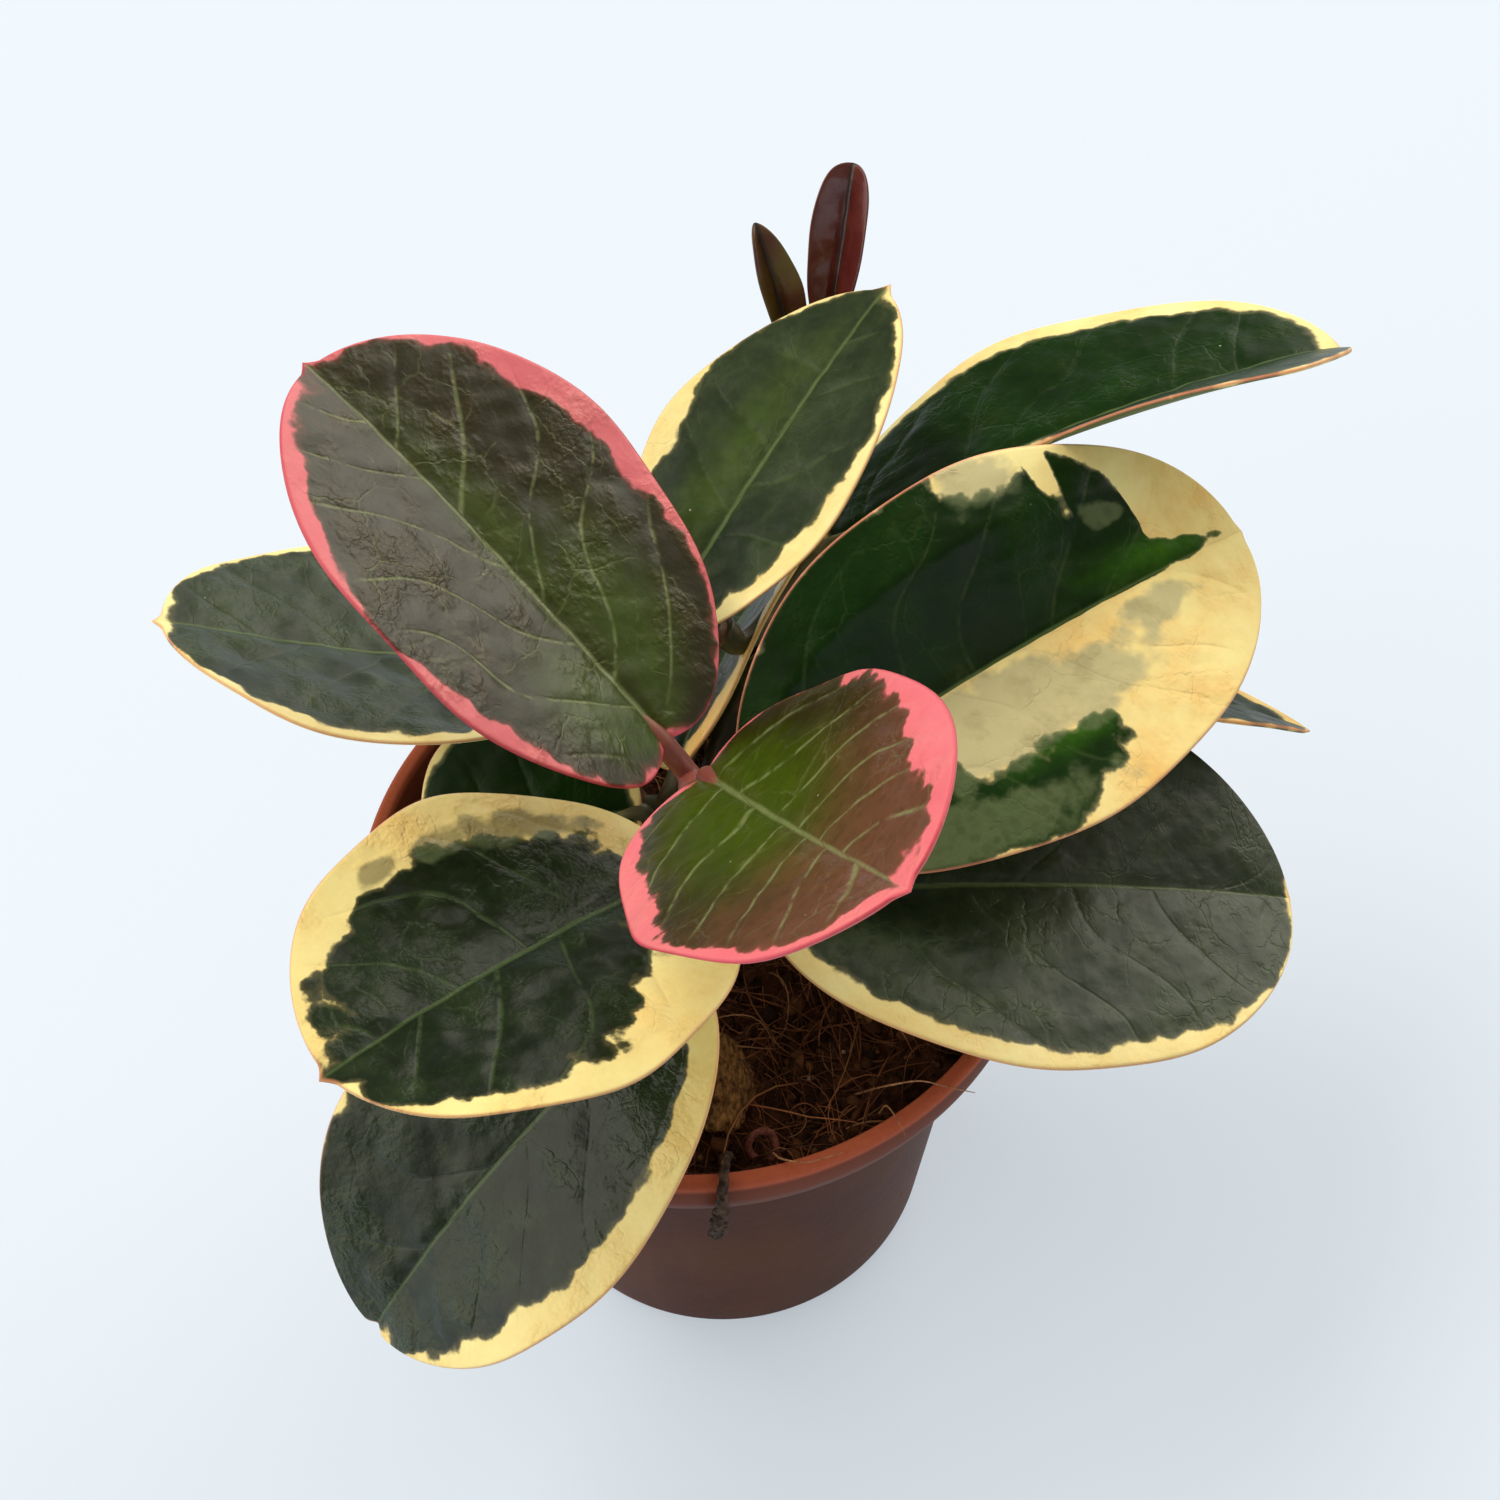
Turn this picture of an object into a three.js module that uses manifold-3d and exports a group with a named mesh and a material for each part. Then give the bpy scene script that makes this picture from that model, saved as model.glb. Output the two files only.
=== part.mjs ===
// Potted variegated hoya in an 80 mm nursery pot.
//
// Millimetres, +Z up. The origin is the centre of the pot's underside. Two stems
// stand in the soil; each carries pairs of thick oval leaves on short stalks, and
// the rear stem ends in a young shoot. Every leaf is one solid with its stalk.
import * as THREE from 'three';
import { mergeVertices } from 'three/addons/utils/BufferGeometryUtils.js';
import Module from 'manifold-3d';

const wasm = await Module();
wasm.setup();

// ---------------------------------------------------------------- dimensions

const GAP = 0.3;                // clearance between pieces that touch

// Pot: a tapered cup whose mouth flares into a rounded collar and lip.
const POT_HEIGHT = 70;
const RIM_RADIUS = 40;
const BASE_RADIUS = 27;
const WALL = 1.5;
const LIP_HEIGHT = 4;           // height of the upright lip band
const LIP_WIDTH = 1.8;          // its thickness at the mouth
const LIP_ROUND = 1.2;          // rounding of its outer top edge
const NECK_RADIUS = 33.3;       // outside, just under the collar
const NECK_DROP = 14.5;         // from the rim down to the neck
const FOOT_ROUND = 1.2;         // rounding at the foot
const GROOVE_HEIGHT = 1.5;      // the ring under the pot that stands clear of the table
const GROOVE_INNER = 11;
const GROOVE_OUTER = 22;
const DRAIN_RADIUS = 2.5;
const DRAIN_COUNT = 6;

// Soil: fills the pot to just under the collar.
const SOIL_DROP = 6;            // from the rim down to the soil's edge
const SOIL_BUMP = 1.6;

// Stems: points from the buried foot to the top, heights measured from the rim.
const overRim = ([x, y, height]) => [x, y, POT_HEIGHT + height];
const STEM_RADIUS = 1.9;
const SHOOT_RADIUS = 1.1;
const ROOT_RADIUS = 0.7;
const FRONT_STEM = {
  foot: overRim([2, -3, -20]),
  low: overRim([3, -14, 10]),
  middle: overRim([5, -9, 17]),
  top: overRim([1, -8, 27]),
};
const BACK_STEM = {
  foot: overRim([1, 4, -20]),
  collar: overRim([-4, 5, -2]),
  low: overRim([-7, 7, 3]),
  middle: overRim([-8, 14, 11]),
  top: overRim([4, 18, 23]),
};
const SHOOT_TIP = overRim([17, 51, 31]);
const ROOT_SPREAD = 13;         // how far the roots reach out from the stem's foot
const ROOT_DEPTH = 34;          // and down

// Leaves: thick at the midrib, thinner at the rim.
const LEAF_THICKNESS = 1.1;
const LEAF_EDGE = 0.5;
const STALK_RADIUS = 1.3;
const STALK_UNDER_BLADE = 5;    // how far the stalk runs on under the blade
const LOW_LEAF_INSET = 18;      // the blade that hangs over the rim starts this far inside it

// stem and node a leaf springs from, stalk: step from the node to the blade's base,
// heading and rise: direction of the blade's base in degrees, droop: how much the
// blade bends down towards its tip, roll: turn about its own length, fold: how far
// the two halves are raised, shoulder and point: outline at the base and at the tip.
const LEAVES = {
  leaf_young_left: {
    stem: FRONT_STEM, node: 'top', stalk: [-3, 5, 4],
    heading: 140, rise: 40, droop: 11, roll: 13,
    length: 53, width: 43, fold: 12, shoulder: 0.52, point: 0.53,
  },
  leaf_young_front: {
    stem: FRONT_STEM, node: 'top', stalk: [1, -1, 6],
    heading: -68, rise: 41, droop: -4, roll: 23,
    length: 60, width: 35, fold: 9, shoulder: 0.46, point: 0.49,
  },
  leaf_right_upper: {
    stem: FRONT_STEM, node: 'middle', stalk: [3, 5, 0],
    heading: 30, rise: 13, droop: 21, roll: 22,
    length: 67, width: 44, fold: 12, shoulder: 0.54, point: 0.56,
  },
  leaf_left_middle: {
    stem: FRONT_STEM, node: 'middle', stalk: [-6, -2, 1],
    heading: 222, rise: 27, droop: 15, roll: -2,
    length: 49, width: 40.5, fold: 9, shoulder: 0.52, point: 0.51,
  },
  leaf_right_lower: {
    stem: FRONT_STEM, node: 'low', stalk: [4, 4, 0],
    heading: 5, rise: -7, droop: 17, roll: 9,
    length: 65, width: 47, fold: 8, shoulder: 0.57, point: 0.56,
  },
  leaf_front_low: {
    stem: FRONT_STEM, node: 'low',
    stalk: [-4, LOW_LEAF_INSET - RIM_RADIUS - FRONT_STEM.low[1], 6],
    heading: 212, rise: -23, droop: 28, roll: -12,
    length: 57, width: 38.5, fold: 11, shoulder: 0.55, point: 0.57,
  },
  leaf_back_middle: {
    stem: BACK_STEM, node: 'top', stalk: [-6, -1, 2],
    heading: 50, rise: 29, droop: 15, roll: -13,
    length: 46.5, width: 29, fold: 10, shoulder: 0.52, point: 0.67,
  },
  leaf_back_right: {
    stem: BACK_STEM, node: 'top', stalk: [10, -1, 11],
    heading: 10, rise: 29, droop: 28, roll: -31,
    length: 65, width: 41, fold: 16, shoulder: 0.51, point: 0.57,
  },
  leaf_left_back: {
    stem: BACK_STEM, node: 'middle', stalk: [-3, 5, 4],
    heading: 183, rise: 14, droop: -13, roll: 20,
    length: 49, width: 41, fold: 5, shoulder: 0.55, point: 0.54,
  },
  leaf_right_hidden: {
    stem: BACK_STEM, node: 'collar', stalk: [13, 16, 15],
    heading: -4, rise: 0, droop: 27, roll: -36,
    length: 68, width: 25.5, fold: 7, shoulder: 0.52, point: 0.6,
  },
  leaf_back_inner: {
    stem: BACK_STEM, node: 'low', stalk: [5, 2, 5],
    heading: 65, rise: 12, droop: 20, roll: -49,
    length: 47, width: 30, fold: 13, shoulder: 0.52, point: 0.6,
  },
  leaf_left_inner: {
    stem: BACK_STEM, node: 'low', stalk: [1, -3, 4],
    heading: 181, rise: 8, droop: 35, roll: -31,
    length: 26, width: 28, fold: 13, shoulder: 0.52, point: 0.57,
  },
};

// The two folded leaflets at the end of the shoot.
const LEAFLETS = {
  shoot_leaf_right: {
    step: [2, 1, 1], heading: 66, rise: 60, droop: -6, roll: 0,
    length: 22, width: 7.5, fold: 42, shoulder: 0.5, point: 0.5,
  },
  shoot_leaf_left: {
    step: [-1.8, 0.8, 0.8], heading: 118, rise: 62, droop: 4, roll: 0,
    length: 16, width: 5.5, fold: 42, shoulder: 0.5, point: 0.6,
  },
};
const LEAFLET_THICKNESS = 0.9;

// Loose pieces of the potting mix that lie on the soil, placed by their distance
// inside the rim and their direction in degrees.
const fromRim = (inset, direction) => [
  (RIM_RADIUS - inset) * Math.cos(THREE.MathUtils.degToRad(direction)),
  (RIM_RADIUS - inset) * Math.sin(THREE.MathUtils.degToRad(direction)),
];
const LUMP_PLACE = fromRim(14, -87);
const LUMP_SIZE = [3.6, 6, 3];
const LUMP_RAISED = 0.8;
const HUSK_FOOT = fromRim(15.2, -43);
const HUSK = {
  heading: 80, rise: 70, droop: 10, roll: 0,
  length: 6, width: 2.6, fold: 25, shoulder: 0.5, point: 0.5,
};
const CURL_CENTRE = fromRim(6, -81);
const CURL_RADIUS = 1.9;
const CURL_THICK = 0.45;
const HANGING_ROOT_RADIUS = 0.9;
const HANGING_ROOT_DROP = 11;   // how far it hangs below the rim
const FIBRE_RADIUS = 0.25;

const COLOURS = {
  pot: 0x7a4334,
  soil: 0x3a2a20,
  stem: 0x8a4a3a,
  leaf_green: 0x34492b,
  leaf_young: 0x5d5a2c,
  shoot: 0x55201f,
  root: 0x8f6a4a,
  lump: 0x8a6238,
};

// ------------------------------------------------------------------- helpers

const vec = ([x, y, z]) => new THREE.Vector3(x, y, z);
const add = (a, b) => a.map((value, axis) => value + b[axis]);
const rad = THREE.MathUtils.degToRad;

const material = (slot, roughness) => new THREE.MeshStandardMaterial({
  name: slot, color: COLOURS[slot], roughness, metalness: 0,
});

// A closed geometry as a manifold solid, without flat triangles.
function toSolid(geometry) {
  const bare = new THREE.BufferGeometry();
  bare.setAttribute('position', geometry.attributes.position);
  bare.setIndex(geometry.index);
  const merged = mergeVertices(bare, 1e-4);
  const corners = merged.index.array;
  const kept = [];
  for (let i = 0; i < corners.length; i += 3) {
    const [a, b, c] = [corners[i], corners[i + 1], corners[i + 2]];
    if (a !== b && b !== c && c !== a) kept.push(a, b, c);
  }
  return new wasm.Manifold(new wasm.Mesh({
    numProp: 3,
    vertProperties: new Float32Array(merged.attributes.position.array),
    triVerts: new Uint32Array(kept),
  }));
}

function toGeometry(solid) {
  const mesh = solid.getMesh();
  const geometry = new THREE.BufferGeometry();
  geometry.setAttribute('position', new THREE.BufferAttribute(mesh.vertProperties, 3));
  geometry.setIndex(new THREE.BufferAttribute(mesh.triVerts, 1));
  geometry.computeVertexNormals();
  return geometry;
}

// A round rod along a smooth path through the points.
function rod(points, radius, sides = 8, steps = 8) {
  const circle = new THREE.Shape();
  for (let i = 0; i < sides; i += 1) {
    const turn = (2 * Math.PI * i) / sides;
    const place = [radius * Math.cos(turn), radius * Math.sin(turn)];
    if (i === 0) circle.moveTo(...place);
    else circle.lineTo(...place);
  }
  const path = new THREE.CatmullRomCurve3(points.map(vec), false, 'centripetal');
  const settings = { steps, bevelEnabled: false, extrudePath: path };
  return new THREE.ExtrudeGeometry(circle, settings);
}

// The same points with both ends pushed outwards by a distance.
function longer(points, distance) {
  const ends = points.map(vec);
  const last = ends.length - 1;
  const start = ends[0].clone().sub(ends[1]).setLength(distance).add(ends[0]);
  const stop = ends[last].clone().sub(ends[last - 1]).setLength(distance).add(ends[last]);
  return [start.toArray(), ...points.slice(1, -1), stop.toArray()];
}

// ----------------------------------------------------------------------- pot

const neckHeight = POT_HEIGHT - NECK_DROP;

// Outside radius of the straight wall at a height.
const wallRadius = (z) => BASE_RADIUS + ((NECK_RADIUS - BASE_RADIUS) * z) / neckHeight;

// The curve of the collar between neck and lip, set in from the outside by a distance.
function collar(inset) {
  return new THREE.QuadraticBezierCurve(
    new THREE.Vector2(NECK_RADIUS - inset, neckHeight - inset * 0.3),
    new THREE.Vector2(RIM_RADIUS - 0.8 - inset, neckHeight + 5),
    new THREE.Vector2(RIM_RADIUS - inset, POT_HEIGHT - LIP_HEIGHT),
  ).getPoints(5);
}

function potSolid() {
  const floor = WALL;
  const top = POT_HEIGHT;
  const outline = [
    [0, 0], [GROOVE_INNER, 0], [GROOVE_INNER + 1, GROOVE_HEIGHT],
    [GROOVE_OUTER - 1, GROOVE_HEIGHT], [GROOVE_OUTER, 0],
    [BASE_RADIUS - FOOT_ROUND, 0], [wallRadius(FOOT_ROUND), FOOT_ROUND],
  ].map(([r, z]) => new THREE.Vector2(r, z));
  outline.push(...collar(0));
  outline.push(new THREE.Vector2(RIM_RADIUS, top - LIP_ROUND));
  outline.push(new THREE.Vector2(RIM_RADIUS - 0.3 * LIP_ROUND, top - 0.3 * LIP_ROUND));
  outline.push(new THREE.Vector2(RIM_RADIUS - LIP_ROUND, top));
  outline.push(new THREE.Vector2(RIM_RADIUS - LIP_WIDTH, top - 0.5));
  outline.push(...collar(LIP_WIDTH).reverse());
  const inside = [
    [wallRadius(GROOVE_HEIGHT + floor) - WALL, GROOVE_HEIGHT + floor],
    [GROOVE_INNER + 1, GROOVE_HEIGHT + floor], [GROOVE_INNER - 1, floor], [0, floor],
  ];
  outline.push(...inside.map(([r, z]) => new THREE.Vector2(r, z)));
  let cup = toSolid(new THREE.LatheGeometry(outline, 44).rotateX(Math.PI / 2));
  const ring = (GROOVE_INNER + GROOVE_OUTER) / 2;
  for (let i = 0; i < DRAIN_COUNT; i += 1) {
    const turn = (2 * Math.PI * i) / DRAIN_COUNT;
    const drill = new THREE.CylinderGeometry(DRAIN_RADIUS, DRAIN_RADIUS, 12, 10);
    drill.rotateX(Math.PI / 2).translate(ring * Math.cos(turn), ring * Math.sin(turn), 0);
    cup = cup.subtract(toSolid(drill));
  }
  return cup;
}

// --------------------------------------------------------------------- stems

// Roots spread from the foot of a stem, turned by an angle for each stem.
function rootPaths(foot, turned) {
  return [0, 120, 240].map((angle) => {
    const turn = rad(angle + turned);
    const out = (share, down) => [
      foot[0] + ROOT_SPREAD * share * Math.cos(turn),
      foot[1] + ROOT_SPREAD * share * Math.sin(turn),
      foot[2] - down,
    ];
    return [out(0, -1), out(0.5, 0.3 * ROOT_DEPTH), out(0.8, 0.65 * ROOT_DEPTH), out(1, ROOT_DEPTH)];
  });
}

// A stem with its roots; `grow` swells it, to cut the room for it from the soil.
function stemSolid(stem, rootTurn, grow) {
  const points = Object.values(stem);
  let body = toSolid(rod(longer(points, grow || 1e-3), STEM_RADIUS + grow, 8, 12));
  for (const path of rootPaths(stem.foot, rootTurn)) {
    const root = rod(longer(path, grow || 1e-3), ROOT_RADIUS + grow, 5, 4);
    body = body.add(toSolid(root));
  }
  return body;
}

function frontStem(grow = 0) {
  return stemSolid(FRONT_STEM, -70, grow);
}

function backStem(grow = 0) {
  const top = vec(BACK_STEM.top);
  const below = vec(BACK_STEM.middle).lerp(top, 0.85).toArray();
  const half = top.clone().lerp(vec(SHOOT_TIP), 0.5).add(vec([0, 2, -1.5])).toArray();
  const shoot = rod([below, add(BACK_STEM.top, [1, 4, 0.5]), half, SHOOT_TIP], SHOOT_RADIUS, 6, 10);
  return stemSolid(BACK_STEM, 20, grow).add(toSolid(shoot));
}

// ---------------------------------------------------------------------- soil

// Height of the soil's surface: gently uneven, a little higher in the middle.
function soilHeight(x, y) {
  const edge = POT_HEIGHT - SOIL_DROP;
  const uneven = Math.sin(x * 0.31 + 1) * Math.cos(y * 0.27) + 0.5 * Math.sin(x * 0.7 - y * 0.5);
  const rise = 1 - (x * x + y * y) / (RIM_RADIUS * RIM_RADIUS);
  return edge + SOIL_BUMP * (rise + 0.45 * uneven);
}

// Inside radius of the pot at a height above its floor, up to the collar.
function roomRadius(z) {
  if (z <= neckHeight - WALL) return wallRadius(z) - WALL;
  const points = collar(LIP_WIDTH);
  const upper = points.find((point) => point.y >= z) || points.at(-1);
  const lower = points[Math.max(0, points.indexOf(upper) - 1)];
  const share = upper.y > lower.y ? (z - lower.y) / (upper.y - lower.y) : 0;
  return lower.x + (upper.x - lower.x) * share;
}

function soilSolid(takenOut) {
  const rings = 7;
  const spokes = 32;
  const low = GROOVE_HEIGHT + WALL + GAP;
  const sideHeights = [neckHeight, neckHeight - 3, low];
  const positions = [];
  const corners = [];
  const ringOf = (radius, heightAt) => {
    for (let j = 0; j < spokes; j += 1) {
      const turn = (2 * Math.PI * j) / spokes;
      const [x, y] = [radius * Math.cos(turn), radius * Math.sin(turn)];
      positions.push(x, y, heightAt(x, y));
    }
  };
  positions.push(0, 0, soilHeight(0, 0));
  const edge = roomRadius(POT_HEIGHT - SOIL_DROP - 1.5) - GAP - 0.1;
  for (let i = 1; i <= rings; i += 1) ringOf((edge * i) / rings, soilHeight);
  for (const z of sideHeights) ringOf(roomRadius(z - 1) - GAP - 0.3, () => z);
  positions.push(0, 0, low);
  const ringCount = rings + sideHeights.length;
  const at = (ring, j) => 1 + (ring - 1) * spokes + (j % spokes);
  const bottom = 1 + ringCount * spokes;
  for (let j = 0; j < spokes; j += 1) {
    corners.push(0, at(1, j), at(1, j + 1));
    for (let ring = 1; ring < ringCount; ring += 1) {
      corners.push(at(ring, j), at(ring + 1, j), at(ring + 1, j + 1));
      corners.push(at(ring, j), at(ring + 1, j + 1), at(ring, j + 1));
    }
    corners.push(bottom, at(ringCount, j + 1), at(ringCount, j));
  }
  const geometry = new THREE.BufferGeometry();
  geometry.setAttribute('position', new THREE.Float32BufferAttribute(positions, 3));
  geometry.setIndex(corners);
  return takenOut.reduce((rest, piece) => rest.subtract(piece), toSolid(geometry));
}

// -------------------------------------------------------------------- leaves

// Half width of a blade at a share of its length, 1 at its widest.
function outlineShare(s, shoulder, point) {
  const widest = shoulder / (shoulder + point);
  const full = widest ** shoulder * (1 - widest) ** point;
  return (s ** shoulder * (1 - s) ** point) / full;
}

// Place on the blade: s runs from base to tip, w from one rim (-1) to the other (1).
// Also returns the direction along the midrib and the direction off the surface.
function bladePlace(leaf, base, s, w) {
  const heading = rad(leaf.heading);
  const rise = rad(leaf.rise);
  const bend = -rad(leaf.droop) || 1e-6;
  const slope = rise + bend * s;
  const ahead = (Math.sin(slope) - Math.sin(rise)) / bend;
  const up = (Math.cos(rise) - Math.cos(slope)) / bend;
  const level = new THREE.Vector3(Math.cos(heading), Math.sin(heading), 0);
  const flat = new THREE.Vector3(-Math.sin(heading), Math.cos(heading), 0);
  const zAxis = new THREE.Vector3(0, 0, 1);
  const along = level.clone().multiplyScalar(Math.cos(slope)).addScaledVector(zAxis, Math.sin(slope));
  const over = level.clone().multiplyScalar(-Math.sin(slope)).addScaledVector(zAxis, Math.cos(slope));
  const roll = rad(leaf.roll);
  const side = flat.clone().multiplyScalar(Math.cos(roll)).addScaledVector(over, Math.sin(roll));
  const off = over.clone().multiplyScalar(Math.cos(roll)).addScaledVector(flat, -Math.sin(roll));
  const half = (leaf.width / 2) * outlineShare(s, leaf.shoulder, leaf.point) * w;
  const fold = rad(leaf.fold);
  const place = vec(base)
    .addScaledVector(level, leaf.length * ahead)
    .addScaledVector(zAxis, leaf.length * up)
    .addScaledVector(side, half * Math.cos(fold))
    .addScaledVector(off, Math.abs(half) * Math.sin(fold));
  return { place, along, off };
}

// A blade: an upper and a lower grid, joined all round by a thin rim.
function bladeSolid(leaf, base, thickness, edge, rows = 10, columns = 6) {
  const positions = [];
  const corners = [];
  for (const face of [1, -1]) {
    for (let i = 0; i <= rows; i += 1) {
      const s = 0.004 + 0.992 * (0.5 - 0.5 * Math.cos((Math.PI * i) / rows));
      for (let j = 0; j <= columns; j += 1) {
        const w = (2 * j) / columns - 1;
        const { place, off } = bladePlace(leaf, base, s, w);
        const end = Math.min(1, Math.min(s, 1 - s) * 12);
        const deep = edge + (thickness - edge) * (1 - w ** 4) * end;
        positions.push(...place.addScaledVector(off, (face * deep) / 2).toArray());
      }
    }
  }
  const wide = columns + 1;
  const lower = wide * (rows + 1);
  const quad = (a, b, c, d) => corners.push(a, b, c, a, c, d);
  for (let i = 0; i < rows; i += 1) {
    for (let j = 0; j < columns; j += 1) {
      const a = i * wide + j;
      quad(a, a + wide, a + wide + 1, a + 1);
      quad(lower + a, lower + a + 1, lower + a + wide + 1, lower + a + wide);
    }
    const left = i * wide;
    const right = left + columns;
    quad(left, lower + left, lower + left + wide, left + wide);
    quad(right, right + wide, lower + right + wide, lower + right);
  }
  for (let j = 0; j < columns; j += 1) {
    const tip = rows * wide + j;
    quad(j, j + 1, lower + j + 1, lower + j);
    quad(tip, lower + tip, lower + tip + 1, tip + 1);
  }
  const geometry = new THREE.BufferGeometry();
  geometry.setAttribute('position', new THREE.Float32BufferAttribute(positions, 3));
  geometry.setIndex(corners);
  return toSolid(geometry);
}

// A leaf: the blade and its stalk, which leaves the stem square to the stem's side.
function leafSolid(leaf) {
  const names = Object.keys(leaf.stem);
  const line = new THREE.CatmullRomCurve3(Object.values(leaf.stem).map(vec), false, 'centripetal');
  const axis = line.getTangent(names.indexOf(leaf.node) / (names.length - 1));
  const away = vec(leaf.stalk).projectOnPlane(axis).normalize();
  const node = vec(leaf.stem[leaf.node]);
  const base = node.clone().add(vec(leaf.stalk)).toArray();
  const start = node.clone().addScaledVector(away, STEM_RADIUS + 1.5 * GAP);
  const leaving = start.clone().addScaledVector(away, STALK_RADIUS);
  const under = [0, STALK_UNDER_BLADE / leaf.length].map((s) => {
    const { place, off } = bladePlace(leaf, base, s, 0);
    return place.addScaledVector(off, -LEAF_THICKNESS / 2).toArray();
  });
  const stalk = toSolid(rod([start.toArray(), leaving.toArray(), ...under], STALK_RADIUS, 6, 6));
  return bladeSolid(leaf, base, LEAF_THICKNESS, LEAF_EDGE).add(stalk);
}

// --------------------------------------------------------------- small pieces

function lumpSolid(grow = 0) {
  const stone = new THREE.IcosahedronGeometry(1, 2);
  const place = stone.attributes.position;
  for (let i = 0; i < place.count; i += 1) {
    const [x, y, z] = [place.getX(i), place.getY(i), place.getZ(i)];
    const rough = 1 + 0.09 * Math.sin(5 * x + 1) * Math.cos(4 * y) + 0.07 * Math.sin(6 * z + 3 * y);
    place.setXYZ(i, ...[x, y, z].map((value, axis) => value * (rough * LUMP_SIZE[axis] + grow)));
  }
  return toSolid(mergeVertices(stone.deleteAttribute('normal').deleteAttribute('uv'), 1e-4)
    .translate(...LUMP_PLACE, soilHeight(...LUMP_PLACE) + LUMP_RAISED));
}

function curledRootSolid() {
  const [x, y] = CURL_CENTRE;
  const path = [-1, -0.5, 0, 0.5, 1].map((share) => {
    const turn = rad(105 * share);
    const across = CURL_RADIUS * Math.sin(turn);
    return [x + across, y, 0.9 * CURL_RADIUS * Math.cos(turn)];
  });
  const ground = Math.max(soilHeight(x - CURL_RADIUS, y), soilHeight(x + CURL_RADIUS, y));
  const lift = ground + GAP + CURL_THICK + 0.5 * CURL_RADIUS;
  return toSolid(rod(path.map(([px, py, pz]) => [px, py, pz + lift]), CURL_THICK, 6, 12));
}

// Points that lead a thin piece over the rim: inset from the rim, direction, height.
const overTheRim = (points) => points.map(([inset, direction, height]) => [
  ...fromRim(inset, direction), POT_HEIGHT + height,
]);
const onSoil = (inset, direction, radius) => {
  const [x, y] = fromRim(inset, direction);
  return [x, y, soilHeight(x, y) + GAP + radius];
};

function hangingRootSolid() {
  const clear = GAP + HANGING_ROOT_RADIUS;
  const path = overTheRim([
    [3.9, -87.5, clear - 1.9], [2.5, -88, clear - 0.3], [0.7, -88.4, clear + 0.3],
    [-clear, -88.9, clear - 0.9], [-clear - 0.4, -89.2, -2.5],
    [-clear - 0.3, -89.9, -0.6 * HANGING_ROOT_DROP], [0.6 - clear, -90.7, -HANGING_ROOT_DROP],
  ]);
  const start = onSoil(5.7, -87, HANGING_ROOT_RADIUS);
  return toSolid(rod([start, ...path], HANGING_ROOT_RADIUS, 6, 14));
}

const clearRim = GAP + FIBRE_RADIUS;
const FIBRES = {
  fibre_arched: [onSoil(8.2, -60, FIBRE_RADIUS), ...overTheRim([
    [4.6, -56.5, 0.5], [2.2, -52.5, 2], [0.1, -49.4, clearRim + 0.2], [-2.4, -47, clearRim - 0.2],
  ])],
  fibre_rim_front: overTheRim([
    [4.4, -79.5, -3], [2, -78.6, clearRim - 0.5], [0.7, -75.3, clearRim], [0.3, -69.4, clearRim],
  ]),
  fibre_rim_right: overTheRim([
    [4.3, -58.8, -4], [2.5, -59.1, clearRim + 0.2], [0.5, -59.3, clearRim + 0.3],
    [-1.3, -59.5, clearRim - 0.6],
  ]),
};

// ------------------------------------------------------------------ assembly

const plant = new THREE.Group();
plant.name = 'potted_hoya';

function place(name, solid, slot, roughness) {
  const mesh = new THREE.Mesh(toGeometry(solid), material(slot, roughness));
  mesh.name = name;
  plant.add(mesh);
}

place('pot', potSolid(), 'pot', 0.45);
place('soil', soilSolid([frontStem(GAP), backStem(GAP), lumpSolid(GAP)]), 'soil', 0.95);
place('front_stem', frontStem(), 'stem', 0.5);
place('back_stem', backStem(), 'stem', 0.5);
for (const [name, leaf] of Object.entries(LEAVES)) {
  place(name, leafSolid(leaf), name.includes('young') ? 'leaf_young' : 'leaf_green', 0.35);
}
for (const [name, leaf] of Object.entries(LEAFLETS)) {
  const base = add(SHOOT_TIP, leaf.step);
  place(name, bladeSolid(leaf, base, LEAFLET_THICKNESS, LEAFLET_THICKNESS / 2, 8, 4), 'shoot', 0.3);
}
place('peat_lump', lumpSolid(), 'lump', 0.95);
const huskBase = [...HUSK_FOOT, soilHeight(...HUSK_FOOT) + 2 * GAP];
place('husk', bladeSolid(HUSK, huskBase, 0.5, 0.4, 6, 2), 'lump', 0.8);
place('curled_root', curledRootSolid(), 'root', 0.7);
place('hanging_root', hangingRootSolid(), 'root', 0.9);
for (const [name, path] of Object.entries(FIBRES)) {
  place(name, toSolid(rod(path, FIBRE_RADIUS, 5, 10)), 'root', 0.7);
}

export default plant;
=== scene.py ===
# %% [markdown]
# # A potted variegated hoya
# Two short stems in a small nursery pot carry pairs of thick, waxy leaves. Each leaf
# is dark green with a pale margin, and the two youngest ones have a pink margin.
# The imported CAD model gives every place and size, in metres. This lesson keeps that
# model as a fixed frame and builds the fine surfaces and finishes around it.

import math

import bpy
import numpy as np
from mathutils import Matrix, Vector


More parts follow.
